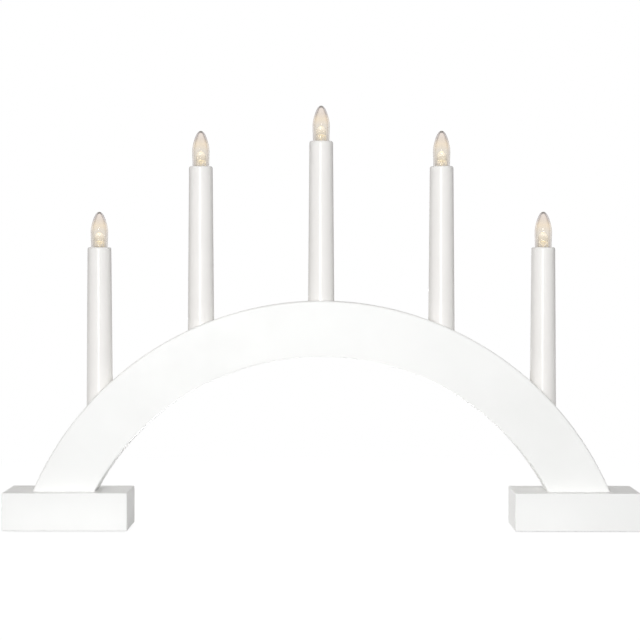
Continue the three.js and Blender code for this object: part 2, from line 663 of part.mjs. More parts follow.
function liveLead() {
  return wireBetween(wireDrop(LAST_CANDLE, 1, 1, linkY), wireFromGrommet(1, linkY).reverse(), linkY);
}

function returnLead() {
  return wireBetween(wireDrop(FIRST_CANDLE, -1, 1, returnY), wireFromGrommet(-1, returnY).reverse(), returnY);
}

const candlestick = new THREE.Group();

function add(parent, name, geometry, finish) {
  const mesh = new THREE.Mesh(geometry, new THREE.MeshStandardMaterial(finish));
  mesh.name = name;
  parent.add(mesh);
}

add(candlestick, "arch_board", archBoard(), PAINTED_BOARD);
add(candlestick, "groove_cover", grooveCover(), HOLDER_PLASTIC);
add(candlestick, "cord_grommet", cordGrommet(), HOLDER_PLASTIC);

for (const [side, hand] of [[-1, "left"], [1, "right"]]) {
  add(candlestick, `foot_${hand}`, foot(side), PAINTED_BOARD);
  screwPlaces(side).forEach((place, i) => {
    const screw = footScrew().translate(place.x, place.y, place.z);
    add(candlestick, `foot_screw_${hand}_${["inner", "outer"][i]}`, screw, STEEL);
  });
  for (const [end, name] of [[-1, "inner"], [1, "outer"]]) {
    add(candlestick, `felt_strip_${hand}_${name}`, feltStrip(side, end), FELT);
  }
}

for (const candle of CANDLES) {
  const group = new THREE.Group();
  group.position.set(candle.x, 0, candle.seatZ + SLEEVE_LENGTH);
  candlestick.add(group);
  add(group, `candle_sleeve_${candle.number}`, candleSleeve(), GLOSS_SLEEVE);
  add(group, `lamp_holder_${candle.number}`, lampHolder(), HOLDER_PLASTIC);
  add(group, `thread_shell_${candle.number}`, threadShell(), BRASS);
  add(group, `contact_pin_${candle.number}`, contactPin(), BRASS);
  add(group, `contact_spring_${candle.number}`, contactSpring(), STEEL);
  add(group, `bulb_envelope_${candle.number}`, bulbEnvelope(), CLEAR_PLASTIC);
  add(group, `bulb_led_${candle.number}`, bulbLed(), LED_RESIN);
  add(group, `bulb_cap_${candle.number}`, bulbCap(), NICKEL);
}

CANDLES.slice(1).forEach((right, i) => {
  const left = CANDLES[i];
  add(candlestick, `link_wire_${left.number}_${right.number}`, linkWire(left, right), WIRE_SHEATH);
});
add(candlestick, "live_lead", liveLead(), WIRE_SHEATH);
add(candlestick, "return_lead", returnLead(), WIRE_SHEATH);

export default candlestick;
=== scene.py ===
"""Looks of an electric window candlestick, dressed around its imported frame.

The frame holds the sizes and the motion. Smooth, detailed surfaces take the place of its plain solids,
each with a procedural finish, and a studio with a floor, soft lights and a camera goes round them.
Lengths are in metres, +Z is up and -Y is the front.
"""

import logging
import math
from abc import ABC, abstractmethod
from dataclasses import dataclass, replace
from enum import Enum
from functools import cached_property
from typing import ClassVar, Sequence

import bmesh
import bpy
import numpy as np
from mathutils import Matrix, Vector


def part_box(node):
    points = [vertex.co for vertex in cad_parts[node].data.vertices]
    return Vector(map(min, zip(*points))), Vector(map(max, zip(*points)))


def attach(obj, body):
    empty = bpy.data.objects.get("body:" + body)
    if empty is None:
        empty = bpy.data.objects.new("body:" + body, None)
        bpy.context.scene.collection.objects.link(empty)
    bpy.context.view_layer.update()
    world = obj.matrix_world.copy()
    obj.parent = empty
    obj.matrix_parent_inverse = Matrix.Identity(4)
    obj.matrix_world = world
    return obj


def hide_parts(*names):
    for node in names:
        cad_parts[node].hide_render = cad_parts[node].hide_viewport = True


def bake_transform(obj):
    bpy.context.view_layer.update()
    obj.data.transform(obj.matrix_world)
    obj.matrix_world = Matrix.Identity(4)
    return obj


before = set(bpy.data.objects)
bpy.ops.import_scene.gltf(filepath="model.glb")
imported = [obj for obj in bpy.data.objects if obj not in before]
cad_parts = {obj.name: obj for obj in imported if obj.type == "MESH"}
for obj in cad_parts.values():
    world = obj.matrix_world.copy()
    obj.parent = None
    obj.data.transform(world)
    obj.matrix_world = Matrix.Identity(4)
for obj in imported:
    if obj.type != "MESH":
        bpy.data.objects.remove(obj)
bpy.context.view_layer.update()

Pair = tuple[float, float]
Triple = tuple[float, float, float]
Colour = Triple
Corner = Triple  # a corner's two coordinates and its easing
Heights = tuple[float, ...]
Node = bpy.types.Node
Socket = bpy.types.NodeSocket
Material = bpy.types.Material
Mesh = bpy.types.Mesh

LOG = logging.getLogger("candlestick")
STAND = "stand"  # the body that stays still

WELD_STEP = 1e-7  # points closer than this are one point
SLIVER = 1e-6  # faces of a cut mesh that are thinner than this are closed up
CREASE_ANGLE = math.radians(33)  # edges sharper than this are drawn sharp
FILLET_STEPS = 6
FILLET_SHARE = 0.48  # a rounded corner takes up no more than this share of a side
GUARD = 0.18  # a row beside each rounded corner, as a share of its size, keeps the flats flat
ROUND_SIDES = 72
SMALL_SIDES = 36
NEAR_PARALLEL = 0.9  # two directions with a larger cosine than this are nearly the same
WIRE_SLANT = (0.31, 0.93, 0.19)  # a direction that no wound wire runs along
RISE_MARK = "rise"

# Easings of small edges, the finest first
HAIR, FINE, SMALL, SOFT, ROUND, FULL, BLUNT = 0.0001, 0.0002, 0.0003, 0.0004, 0.0005, 0.0006, 0.0007

BLACK = (0.0, 0.0, 0.0)
WHITE = (1.0, 1.0, 1.0)
COOL = (0.985, 1.0, 1.01)
WARM = (1.0, 0.98, 0.95)
EVEN = (1.0, 1.0, 1.0)
NOISE_RANGE = (0.3, 0.7)  # where most of a cloudy noise lies
SMOOTH = "SMOOTHSTEP"


class Slot(str, Enum):
    """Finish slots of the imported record."""

    BOARD = "painted_board"
    SLEEVE = "sleeve_plastic"
    CLEAR = "clear_plastic"
    RESIN = "led_resin"
    NICKEL = "nickel_plate"
    BRASS = "brass"
    SPRING = "spring_steel"
    ZINC = "zinc_steel"
    HOLDER = "holder_plastic"
    FELT = "felt"


class Side(Enum):
    """The two feet, by the sign of x."""

    LEFT = -1
    RIGHT = 1


class End(Enum):
    """The two ends of a foot, by their direction from its middle, away from the arch's centre."""

    INNER = -1
    OUTER = 1


class Mixing(Enum):
    """Ways to mix two values, as kind of data, kind of blend and the numbers of the node's sockets.

    The sockets are the share, the first value, the second value and the result.
    """

    NUMBERS = ("FLOAT", "MIX", (0, 2, 3, 0))
    COLOURS = ("RGBA", "MIX", (0, 6, 7, 2))
    PRODUCT = ("RGBA", "MULTIPLY", (0, 6, 7, 2))


@dataclass(frozen=True)
class Shell:
    """A closed surface before it becomes a mesh.

    Attributes:
        points: Corner points, one row of x, y and z each.
        faces: Four-cornered faces, as rows of point numbers.
        caps: Flat many-cornered faces that close open ends.
        marks: One number a point, kept on the mesh as the attribute that tells height.
    """

    points: np.ndarray
    faces: np.ndarray
    caps: tuple[np.ndarray, ...] = ()
    marks: np.ndarray | None = None

    def moved(self, x: float, y: float, z: float) -> "Shell":
        """The same shell shifted by x, y and z."""
        return replace(self, points=self.points + np.array((x, y, z)))

    def laid_back(self) -> "Shell":
        """The same shell turned a quarter about X, so that what pointed up points to the rear."""
        x, y, z = self.points.T
        return replace(self, points=np.stack((x, z, -y), axis=1))

    def volume(self) -> float:
        """Signed volume: a sixth of the sum of a . (b x c) over the faces' triangles.

        Returns:
            The volume, below 0 where the faces look inwards.
        """
        fans = [np.stack((np.full(len(c) - 2, c[0]), c[1:-1], c[2:]), axis=1) for c in self.caps]
        triangles = np.concatenate([self.faces[:, (0, 1, 2)], self.faces[:, (0, 2, 3)], *fans])
        a, b, c = (self.points[triangles[:, k]] for k in range(3))
        return float(np.einsum("ij,ij->", a, np.cross(b, c)) / 6)

    def outward(self) -> "Shell":
        """The same shell with its faces outwards.

        Returns:
            The shell, its faces turned over if they looked inwards.
        """
        if self.volume() >= 0:
            return self
        return replace(self, faces=self.faces[:, ::-1], caps=tuple(c[::-1] for c in self.caps))

    def mesh(self, name: str) -> Mesh:
        """Welds the seams and poles and makes a smooth mesh with sharp creases.

        Args:
            name: Name of the mesh.

        Returns:
            The new mesh.
        """
        shell = self.outward()
        keys = np.round(shell.points / WELD_STEP).astype(np.int64)
        _, first, number = np.unique(keys, axis=0, return_index=True, return_inverse=True)
        number = number.reshape(-1)
        corners = number[shell.faces]
        doubled = corners == np.roll(corners, -1, axis=1)
        quads = corners[~doubled.any(axis=1)]
        folded = doubled.sum(axis=1) == 1
        triangles = corners[folded][~doubled[folded]].reshape(-1, 3)
        caps = [number[c].tolist() for c in shell.caps]
        mesh = bpy.data.meshes.new(name)
        mesh.from_pydata(shell.points[first].tolist(), [], quads.tolist() + triangles.tolist() + caps)
        if shell.marks is not None:
            mark = mesh.attributes.new(RISE_MARK, "FLOAT", "POINT")
            mark.data.foreach_set("value", shell.marks[first].astype(np.float32))
        return smoothed(mesh)


def smoothed(mesh: Mesh) -> Mesh:
    """Shades a mesh smooth between its creases.

    Args:
        mesh: The mesh to shade.

    Returns:
        The same mesh.
    """
    mesh.validate()
    mesh.shade_smooth()
    mesh.set_sharp_from_angle(angle=CREASE_ANGLE)
    mesh.update()
    return mesh


def unit(ways: np.ndarray) -> np.ndarray:
    """The same directions, each with a length of 1."""
    return ways / np.linalg.norm(ways, axis=-1, keepdims=True)


def angles(sides: int) -> np.ndarray:
    """The angles of a ring's points: 2 pi j / sides for side j."""
    return np.arange(sides) * 2 * np.pi / sides


def ring(u: np.ndarray, v: np.ndarray, radius: float, sides: int) -> np.ndarray:
    """Circles about the origin, r (cos t u + sin t v) at the sides' angles t.

    Args:
        u: First direction of each circle.
        v: Second direction of each circle, square to the first.
        radius: Radius of the circles.
        sides: Number of sides.

    Returns:
        The circles' points, circles by sides by 3, or sides by 3 for a single circle.
    """
    turn = angles(sides)[:, None]
    return radius * (np.cos(turn) * u[..., None, :] + np.sin(turn) * v[..., None, :])


def curve(pulls: Sequence[Pair], steps: int) -> np.ndarray:
    """A smooth curve from its first pull to its last.

    With n + 1 pulls p_k it is the sum of C(n, k) s^k (1 - s)^(n - k) p_k, for s from 0 to 1.

    Args:
        pulls: The ends and, between them, the points that draw the curve towards them.
        steps: Number of steps along the curve.

    Returns:
        Points of the curve, two numbers a row.
    """
    s = np.linspace(0, 1, steps + 1)[:, None]
    n = len(pulls) - 1
    return sum(math.comb(n, k) * s ** k * (1 - s) ** (n - k) * np.array(p) for k, p in enumerate(pulls))


def grid_shell(points: np.ndarray, loop_rows: bool = False, capped: bool = False,
               marks: np.ndarray | None = None) -> Shell:
    """A surface on a grid of points whose columns run round.

    Face (i, j) has the corners (i, j), (i, j + 1), (i + 1, j + 1) and (i + 1, j).

    Args:
        points: Grid of points, rows by columns by 3.
        loop_rows: Whether the last row joins the first.
        capped: Whether flat faces close the first and the last row.
        marks: Heights to keep, rows by columns.

    Returns:
        The surface.
    """
    rows, columns = points.shape[:2]
    i = np.arange(rows if loop_rows else rows - 1)[:, None]
    j = np.arange(columns)[None, :]
    up, on = (i + 1) % rows, (j + 1) % columns
    corners = np.broadcast_arrays(i * columns + j, i * columns + on, up * columns + on, up * columns + j)
    faces = np.stack(corners, axis=-1).reshape(-1, 4)
    ends = (j[0][::-1], (rows - 1) * columns + j[0]) if capped else ()
    return Shell(points.reshape(-1, 3), faces, ends, None if marks is None else marks.reshape(-1))


def eased(outline: Sequence[Corner], closed: bool) -> np.ndarray:
    """A flat outline with its corners rounded.

    Corner p with easing e between its neighbours becomes (1-s)^2 a + 2 s (1-s) p + s^2 b, where a and b lie
    e from p towards the neighbours, and one more point lies a little beyond a and b.

    Args:
        outline: The corners.
        closed: Whether the last corner joins the first.

    Returns:
        Points of the rounded outline, two numbers a row.
    """
    data = np.array(outline, float)
    corner, ease = data[:, :2], data[:, 2:]
    before, after = np.roll(corner, 1, axis=0), np.roll(corner, -1, axis=0)
    if not closed:
        before[0], after[-1] = corner[0], corner[-1]

    def towards(other: np.ndarray, reach: np.ndarray) -> np.ndarray:
        """The points at a reach from each corner towards another point.

        Args:
            other: The point that each corner looks to.
            reach: How far from each corner the point lies.

        Returns:
            One point for each corner.
        """
        way = other - corner
        length = np.linalg.norm(way, axis=1, keepdims=True)
        return corner + way / np.maximum(length, WELD_STEP) * np.minimum(reach, FILLET_SHARE * length)

    a, b = towards(before, ease), towards(after, ease)
    s = np.linspace(0, 1, FILLET_STEPS + 1)[None, :, None]
    arc = (1 - s) ** 2 * a[:, None] + 2 * s * (1 - s) * corner[:, None] + s ** 2 * b[:, None]
    guards = (towards(before, ease * (1 + GUARD)), towards(after, ease * (1 + GUARD)))
    points = np.concatenate((guards[0][:, None], arc, guards[1][:, None]), axis=1).reshape(-1, 2)
    keep = np.linalg.norm(points - np.roll(points, 1, axis=0), axis=1) > WELD_STEP
    keep[0] = keep[0] or not closed
    return points[keep]


def turned(radii: np.ndarray, heights: np.ndarray, sides: int, closed: bool = False,
           marks: np.ndarray | None = None) -> Shell:
    """A profile turned about Z: point (i, j) is (r cos t, r sin t, h_i) at the angle t of side j.

    Args:
        radii: Radius of each profile point, or one for each profile point and side.
        heights: Height of each profile point.
        sides: Number of sides round the axis.
        closed: Whether the profile's last point joins its first.
        marks: Heights to keep, one for each profile point.

    Returns:
        The turned surface.
    """
    turn = angles(sides)
    radius = np.broadcast_to(np.asarray(radii).reshape(len(heights), -1), (len(heights), sides))
    height = np.broadcast_to(np.asarray(heights)[:, None], radius.shape)
    points = np.stack((radius * np.cos(turn), radius * np.sin(turn), height), axis=-1)
    kept = None if marks is None else np.broadcast_to(np.asarray(marks)[:, None], radius.shape)
    return grid_shell(points, loop_rows=closed, marks=kept)


def lathe(outline: Sequence[Corner], sides: int, closed: bool = False) -> Shell:
    """An outline of radius, height and easing, rounded and turned about Z.

    Args:
        outline: Corners of the profile, up the outside and down the inside.
        sides: Number of sides round the axis.
        closed: Whether the outline joins its own start.

    Returns:
        The turned surface.
    """
    profile = eased(outline, closed)
    return turned(*profile.T, sides, closed)


def threaded(stretches: Sequence[Sequence[np.ndarray]], sides: int, closed: bool = False) -> Shell:
    """Plain and threaded stretches of one profile, joined and turned about Z.

    Args:
        stretches: Radii and heights of each stretch. A plain one has one radius a row, and a threaded one
            has one for each row and side.
        sides: Number of sides round the axis.
        closed: Whether the profile's last point joins its first.

    Returns:
        The turned surface.
    """
    radii = [np.broadcast_to(r.reshape(len(h), -1), (len(h), sides)) for r, h in stretches]
    return turned(np.concatenate(radii), np.concatenate([h for _, h in stretches]), sides, closed)


def thread_wave(heights: np.ndarray, sides: int, pitch: float, sharpness: float = 1.0) -> np.ndarray:
    """A right-hand screw's wave, 0 at the root and 1 at the crest.

    The wave is ((1 - cos 2 pi (h / pitch - t / 2 pi)) / 2) ^ sharpness at height h and angle t.

    Args:
        heights: Heights of the rows.
        sides: Number of sides round the axis.
        pitch: Rise of one turn.
        sharpness: Above 1, the crests are narrower than the roots.

    Returns:
        The wave, rows by sides.
    """
    turns = heights[:, None] / pitch - np.arange(sides)[None, :] / sides
    return ((1 - np.cos(2 * np.pi * turns)) / 2) ** sharpness


def rod(start: np.ndarray, end: np.ndarray, radius: float) -> Shell:
    """A round bar: its axis runs from start to end, and a circle of the radius is carried along it.

    Args:
        start: First end of the axis.
        end: Second end of the axis.
        radius: Radius of the bar.

    Returns:
        The closed bar.
    """
    axis = unit(end - start)
    across = unit(np.cross(axis, (0.0, 1.0, 0.0) if abs(axis[1]) < NEAR_PARALLEL else (1.0, 0.0, 0.0)))
    circle = ring(across, np.cross(axis, across), radius, SMALL_SIDES)
    return grid_shell(np.stack((start + circle, end + circle)), capped=True)


def tube(path: np.ndarray, radius: float, sides: int) -> Shell:
    """A round wire carried along a path, its rings square to the path's own direction.

    Each ring is p + r (cos t u + sin t v). v is square to the path and to a fixed slant direction, and u to
    the path and v, so the rings don't twist.

    Args:
        path: Points of the centre line, one a row.
        radius: Radius of the wire.
        sides: Number of sides.

    Returns:
        The closed wire.
    """
    along = unit(np.gradient(path, axis=0))
    v = unit(np.cross(along, WIRE_SLANT))
    return grid_shell(path[:, None] + ring(np.cross(v, along), v, radius, sides), capped=True)


def rounded_block(size: Sequence[float], edge: float) -> Shell:
    """A block with round edges about the origin.

    A point q of a box of half sizes h is drawn in to c + e (q - c) / |q - c|, where c is q held inside
    the box of half sizes h - e.

    Args:
        size: Full sizes along x, y and z.
        edge: Radius of the edges.

    Returns:
        The closed block.
    """
    half = np.array(size, float) / 2
    reach = np.concatenate(([-GUARD], np.tan(np.linspace(0, np.pi / 4, FILLET_STEPS))))
    across = 2 * len(reach)
    i, j = (n.reshape(-1) for n in np.meshgrid(*[np.arange(across - 1)] * 2, indexing="ij"))
    at = i * across + j
    faces = np.stack((at, at + across, at + across + 1, at + 1), axis=1)
    sides = []
    for axis in range(3):
        a, b = (axis + 1) % 3, (axis + 2) % 3
        lines = [np.concatenate((-(half[k] - edge + edge * reach[::-1]), half[k] - edge + edge * reach))
                 for k in (a, b)]
        u, v = np.meshgrid(*lines, indexing="ij")
        for sign in (-1, 1):
            q = np.empty((*u.shape, 3))
            q[..., a], q[..., b], q[..., axis] = u, v, sign * half[axis]
            core = np.clip(q, edge - half, half - edge)
            points = core + edge * unit(q - core)
            sides.append((points.reshape(-1, 3), faces[:, ::sign] + len(sides) * across ** 2))
    return Shell(*(np.concatenate(rows) for rows in zip(*sides)))


def block_in(node: str, edge: float) -> Shell:
    """A round-edged block that fills the box of a node of the frame."""
    low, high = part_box(node)
    return rounded_block(high - low, edge).moved(*((low + high) / 2))


def carved(name: str, body: Shell, tools: Sequence[Shell]) -> Mesh:
    """Cuts tools out of a body, one cut each, and welds what is left of slivers.

    Args:
        name: Name of the new mesh.
        body: What is cut.
        tools: What is taken away.

    Returns:
        The cut mesh, smooth between its creases.
    """
    scene = bpy.context.scene.collection
    objects = [bpy.data.objects.new("scratch", s.mesh("scratch")) for s in (body, *tools)]
    for obj in objects:
        scene.objects.link(obj)
    target = objects[0]
    for tool in objects[1:]:
        cut = target.modifiers.new("cut", "BOOLEAN")
        cut.operation, cut.solver, cut.object = "DIFFERENCE", "MANIFOLD", tool
    graph = bpy.context.evaluated_depsgraph_get()
    mesh = bpy.data.meshes.new_from_object(target.evaluated_get(graph))
    mesh.name = name
    mesh.materials.clear()
    solid = bmesh.new()
    solid.from_mesh(mesh)
    bmesh.ops.remove_doubles(solid, verts=solid.verts, dist=SLIVER)
    bmesh.ops.dissolve_degenerate(solid, edges=solid.edges, dist=SLIVER)
    solid.to_mesh(mesh)
    solid.free()
    for obj in objects:
        data = obj.data
        bpy.data.objects.remove(obj)
        bpy.data.meshes.remove(data)
    return smoothed(mesh)


def opaque(colour: Colour) -> tuple[float, ...]:
    """A colour as sockets take it, with full cover."""
    return (*colour, 1.0)


def faded(colour: Colour, share: float) -> Colour:
    """A share of a colour."""
    return tuple(share * c for c in colour)


@dataclass(frozen=True)
class Clouds:
    """Cloudy noise on the object's own coordinates.

    Attributes:
        scale: Number of clouds in a metre.
        detail: Number of finer layers.
        stretch: Factor on each axis; one below 1 draws the clouds out along it.
        rough: Strength of the finer layers.
    """

    scale: float
    detail: float
    stretch: Triple = EVEN
    rough: float = 0.5


@dataclass(frozen=True)
class Relief:
    """Fine bumps: the clouds that lift the surface, and the height that 1 stands for."""

    clouds: Clouds
    depth: float


class Graph:
    """A node tree while it is put together."""

    def __init__(self, tree: bpy.types.NodeTree) -> None:
        """Takes up a node tree."""
        self.tree = tree

    def feed(self, socket: Socket, value: object) -> None:
        """Links an output to an input, or sets the input to a constant.

        Args:
            socket: The input.
            value: Another node's output, or a constant.
        """
        if isinstance(value, Socket):
            self.tree.links.new(value, socket)
        else:
            socket.default_value = value

    def fill(self, node: Node, **values: object) -> Node:
        """Feeds a node's inputs by their names, in which an underscore stands for a space.

        Args:
            node: The node to fill.
            **values: What goes into each input.

        Returns:
            The same node.
        """
        for key, value in values.items():
            self.feed(node.inputs[key.replace("_", " ")], value)
        return node

    def node(self, kind: str, *inputs: object, **settings: object) -> Node:
        """Adds a node.

        Args:
            kind: Blender's name for the node, without the ShaderNode in front.
            *inputs: What goes into the node's first inputs, in their order.
            **settings: Properties of the node.

        Returns:
            The new node.
        """
        made = self.tree.nodes.new("ShaderNode" + kind)
        for key, value in settings.items():
            setattr(made, key, value)
        for socket, value in zip(made.inputs, inputs):
            self.feed(socket, value)
        return made

    def number(self, operation: str, *inputs: object) -> Socket:
        """The result of a Math node's operation."""
        return self.node("Math", *inputs, operation=operation).outputs["Value"]

    def mapped(self, source: Socket, ends: Pair, values: Pair, style: str = "LINEAR") -> Socket:
        """A number that runs from one value to another as the source runs from one end to another.

        Args:
            source: The number that it follows.
            ends: First and last place of the source.
            values: The results there and beyond.
            style: Blender's name for the way between.

        Returns:
            The number.
        """
        return self.node("MapRange", source, *ends, *values, interpolation_type=style).outputs["Result"]

    def mixed(self, way: Mixing, share: object, first: object, second: object) -> Socket:
        """Two values mixed.

        Args:
            way: How they are mixed.
            share: How much the second one counts, 0 to 1.
            first: The first value.
            second: The second value.

        Returns:
            The mixed value.
        """
        data, blend, (*inputs, result) = way.value
        made = self.node("Mix", data_type=data, blend_type=blend)
        for number, value in zip(inputs, (share, first, second)):
            self.feed(made.inputs[number], value)
        return made.outputs[result]


class Recipe(Graph):
    """A material's node tree, with the makings of a procedural finish."""

    def __init__(self, name: str) -> None:
        """Starts a material with one principled shader.

        Args:
            name: Name of the material.
        """
        self.material = bpy.data.materials.new(name)
        self.material.use_nodes = True
        super().__init__(self.material.node_tree)
        self.shader = self.tree.nodes["Principled BSDF"]

    def finish(self, **values: object) -> Material:
        """Fills the shader's own sockets and returns the material."""
        self.fill(self.shader, **values)
        return self.material

    def place(self, stretch: Triple) -> Socket:
        """The object's own coordinates, stretched by a factor on each axis."""
        source = self.node("TexCoord").outputs["Object"]
        return self.fill(self.node("Mapping"), Vector=source, Scale=stretch).outputs["Vector"]

    def rise(self) -> Socket:
        """The height mark of the surface."""
        return self.node("Attribute", attribute_name=RISE_MARK).outputs["Fac"]

    def noise(self, clouds: Clouds) -> Socket:
        """The clouds as a number, mostly within the noise's range.

        Args:
            clouds: The clouds.

        Returns:
            The number.
        """
        made = self.fill(self.node("TexNoise"), Vector=self.place(clouds.stretch), Scale=clouds.scale,
                         Detail=clouds.detail, Roughness=clouds.rough)
        return made.outputs[0]

    def drift(self, clouds: Clouds, values: Pair) -> Socket:
        """A number that drifts between two values with the clouds."""
        return self.mapped(self.noise(clouds), NOISE_RANGE, values)

    def blend(self, source: Socket, places: Sequence[float], colours: Sequence[Colour]) -> Socket:
        """A colour that runs through a row of colours as the source grows.

        Args:
            source: The number that it follows.
            places: Where in the source each colour is reached.
            colours: The colours.

        Returns:
            The colour.
        """
        ramp = self.node("ValToRGB", source)
        bands = ramp.color_ramp.elements
        while len(bands) < len(places):
            bands.new(0.5)
        for band, place, colour in zip(bands, places, colours):
            band.position, band.color = place, opaque(colour)
        return ramp.outputs["Color"]

    def bump(self, height: Socket, depth: float, under: Socket | None = None) -> Socket:
        """A bumpy normal.

        Args:
            height: Height of the bumps, 0 to 1.
            depth: Depth that a height of 1 stands for.
            under: A normal that this one is added to.

        Returns:
            The normal.
        """
        made = self.fill(self.node("Bump"), Strength=1.0, Distance=depth, Height=height)
        if under is not None:
            self.fill(made, Normal=under)
        return made.outputs["Normal"]

    def relief(self, layers: Sequence[Relief]) -> Socket | None:
        """A normal with fine bumps, each layer on top of the one before.

        Args:
            layers: The bumps.

        Returns:
            The normal, or nothing without layers.
        """
        normal = None
        for layer in layers:
            normal = self.bump(self.noise(layer.clouds), layer.depth, normal)
        return normal


class Finish(ABC):
    """A procedural finish, made into a material once."""

    @abstractmethod
    def make(self) -> Material:
        """Builds the material."""

    @cached_property
    def material(self) -> Material:
        """The finish's material."""
        return self.make()


@dataclass(frozen=True)
class Coat(Finish):
    """A finish that drifts between two tones, with uneven gloss and fine bumps.

    Attributes:
        name: Name of the material.
        light: Lighter tone.
        dim: Darker tone.
        gloss: Least and most roughness.
        tones: Clouds of the two tones.
        stops: Where in those clouds the darker and the lighter tone are reached.
        shine: Clouds of the gloss.
        bumps: Layers of bumps.
        ior: Index of refraction.
        metallic: 1 for metal, 0 for the rest.
    """

    name: str
    light: Colour
    dim: Colour
    gloss: Pair
    tones: Clouds
    stops: Pair
    shine: Clouds
    bumps: tuple[Relief, ...]
    ior: float = 1.5
    metallic: float = 0.0

    def make(self) -> Material:
        """Builds the material.

        Returns:
            The material.
        """
        recipe = Recipe(self.name)
        return recipe.finish(
            Base_Color=recipe.blend(recipe.noise(self.tones), self.stops, (self.dim, self.light)),
            Roughness=recipe.drift(self.shine, self.gloss), Normal=recipe.relief(self.bumps),
            IOR=self.ior, Metallic=self.metallic)


@dataclass(frozen=True)
class SatinPaint(Coat):
    """Sprayed white paint on smooth wood, with faint orange peel, fine nibs and drifts of tone."""

    name: str = "satin_white_paint"
    light: Colour = (0.917, 0.917, 0.907)
    dim: Colour = (0.889, 0.889, 0.877)
    gloss: Pair = (0.32, 0.42)
    tones: Clouds = Clouds(16, 3)
    stops: Pair = (0.3, 0.6)
    shine: Clouds = Clouds(160, 3)
    bumps: tuple[Relief, ...] = (Relief(Clouds(700, 1), 1.2e-5), Relief(Clouds(2600, 2), 4.0e-6))


@dataclass(frozen=True)
class SleevePlastic(Coat):
    """Glossy off-white moulded plastic with faint draw lines along the candle."""

    DRAW: ClassVar[Triple] = (1, 1, 0.04)

    name: str = "gloss_sleeve_plastic"
    light: Colour = (0.922, 0.904, 0.883)
    dim: Colour = (0.900, 0.882, 0.861)
    gloss: Pair = (0.17, 0.23)
    tones: Clouds = Clouds(45, 3)
    stops: Pair = (0.3, 0.65)
    shine: Clouds = Clouds(240, 2, DRAW)
    bumps: tuple[Relief, ...] = (Relief(Clouds(420, 2, DRAW), 6.0e-6),)
    ior: float = 1.49


@dataclass(frozen=True)
class PlatedMetal(Coat):
    """Bright metal with fine lines round the piece and slight tarnish."""

    gloss: Pair = (0.18, 0.34)
    tones: Clouds = Clouds(260, 4)
    stops: Pair = (0.35, 0.6)
    shine: Clouds = Clouds(400, 3)
    bumps: tuple[Relief, ...] = (Relief(Clouds(5000, 2, (0.08, 0.08, 1)), 3.0e-6),)
    metallic: float = 1.0


@dataclass(frozen=True)
class FrostedMetal(PlatedMetal):
    """Duller metal with fine grain instead of lines."""

    bumps: tuple[Relief, ...] = (Relief(Clouds(5000, 2), 3.0e-6),)


@dataclass(frozen=True)
class MattePlastic(Coat):
    """Matt moulded plastic with a fine spark texture."""

    gloss: Pair = (0.45, 0.62)
    tones: Clouds = Clouds(90, 3)
    stops: Pair = (0.3, 0.65)
    shine: Clouds = Clouds(900, 2)
    bumps: tuple[Relief, ...] = (Relief(Clouds(2200, 3), 1.0e-5),)


@dataclass(frozen=True)
class ClearPlastic(Finish):
    """Clear warm-tinted plastic of a lamp's envelope, with a painted glow of the diode's light in its wall.

    The tint and the painted glow follow the height mark, 0 at the sleeve's top and 1 at the tip. The tint
    is darker at the foot with painted shade of the cap and the sleeve, warmer in the middle with painted
    light of the diode, and held darker at the outline with painted shade.
    """

    # foot: painted shade of the cap and the sleeve on the wall's lowest part
    foot: Colour = (0.800, 0.770, 0.735)
    low: Colour = (0.890, 0.855, 0.805)
    # middle: warmer, with painted light of the diode
    middle: Colour = (0.935, 0.875, 0.790)
    high: Colour = (0.900, 0.850, 0.800)
    tip: Colour = (0.930, 0.885, 0.855)
    tint_shade_and_light_heights: Heights = (0.0, 0.25, 0.45, 0.62, 0.78, 0.97)
    rim: Colour = (0.62, 0.60, 0.60)  # painted shade that the tint is held to at the outline
    nose: Colour = (0.36, 0.33, 0.34)  # the same painted shade near the tip
    outline_shade_heights: Heights = (0.6, 0.78, 0.92, 0.985)
    outline_shade_slopes: Pair = (0.16, 0.74)  # how far the wall turns away where the painted outline shade starts and where it is full
    shine: Colour = (0.15, 0.15, 0.15)
    glow: Colour = (1.0, 0.66, 0.22)
    faint: float = 0.25  # share of the glow in its lower part
    glow_heights: Heights = (0.0, 0.35, 0.55, 0.66, 0.80)
    strength: float = 0.06
    gloss: Pair = (0.03, 0.09)
    haze: Clouds = Clouds(300, 2)
    ripple: Relief = Relief(Clouds(220, 1), 1.0e-5)
    ior: float = 1.49

    def make(self) -> Material:
        """Builds the clear plastic.

        Returns:
            The material.
        """
        recipe = Recipe("clear_lamp_plastic")
        rise, slope = recipe.rise(), recipe.node("LayerWeight").outputs["Facing"]
        # Tints by height: the foot's is painted shade, and the middle's warmth is painted light of the
        # diode.
        tints = (self.foot, self.low, self.low, self.middle, self.high, self.tip)
        # Painted shade at the outline, deeper near the tip.
        painted_outline_shades = (self.rim, self.nose, self.nose, self.rim)
        glows = (BLACK, faded(self.glow, self.faint), self.glow, self.glow, BLACK)
        # The height's tint, held darker at the outline with painted shade.
        tint = recipe.mixed(Mixing.PRODUCT, recipe.mapped(slope, self.outline_shade_slopes, (0.0, 1.0)),
                            recipe.blend(rise, self.tint_shade_and_light_heights, tints),
                            recipe.blend(rise, self.outline_shade_heights, painted_outline_shades))
        # Painted glow of the diode's light in the wall, strongest where the wall turns away.
        light = recipe.mixed(Mixing.PRODUCT, 1.0, recipe.blend(rise, self.glow_heights, glows), slope)
        return recipe.finish(
            Base_Color=tint, Transmission_Weight=1.0, IOR=self.ior, Normal=recipe.relief((self.ripple,)),
            Specular_Tint=opaque(self.shine), Roughness=recipe.drift(self.haze, self.gloss),
            Emission_Color=light, Emission_Strength=self.strength)


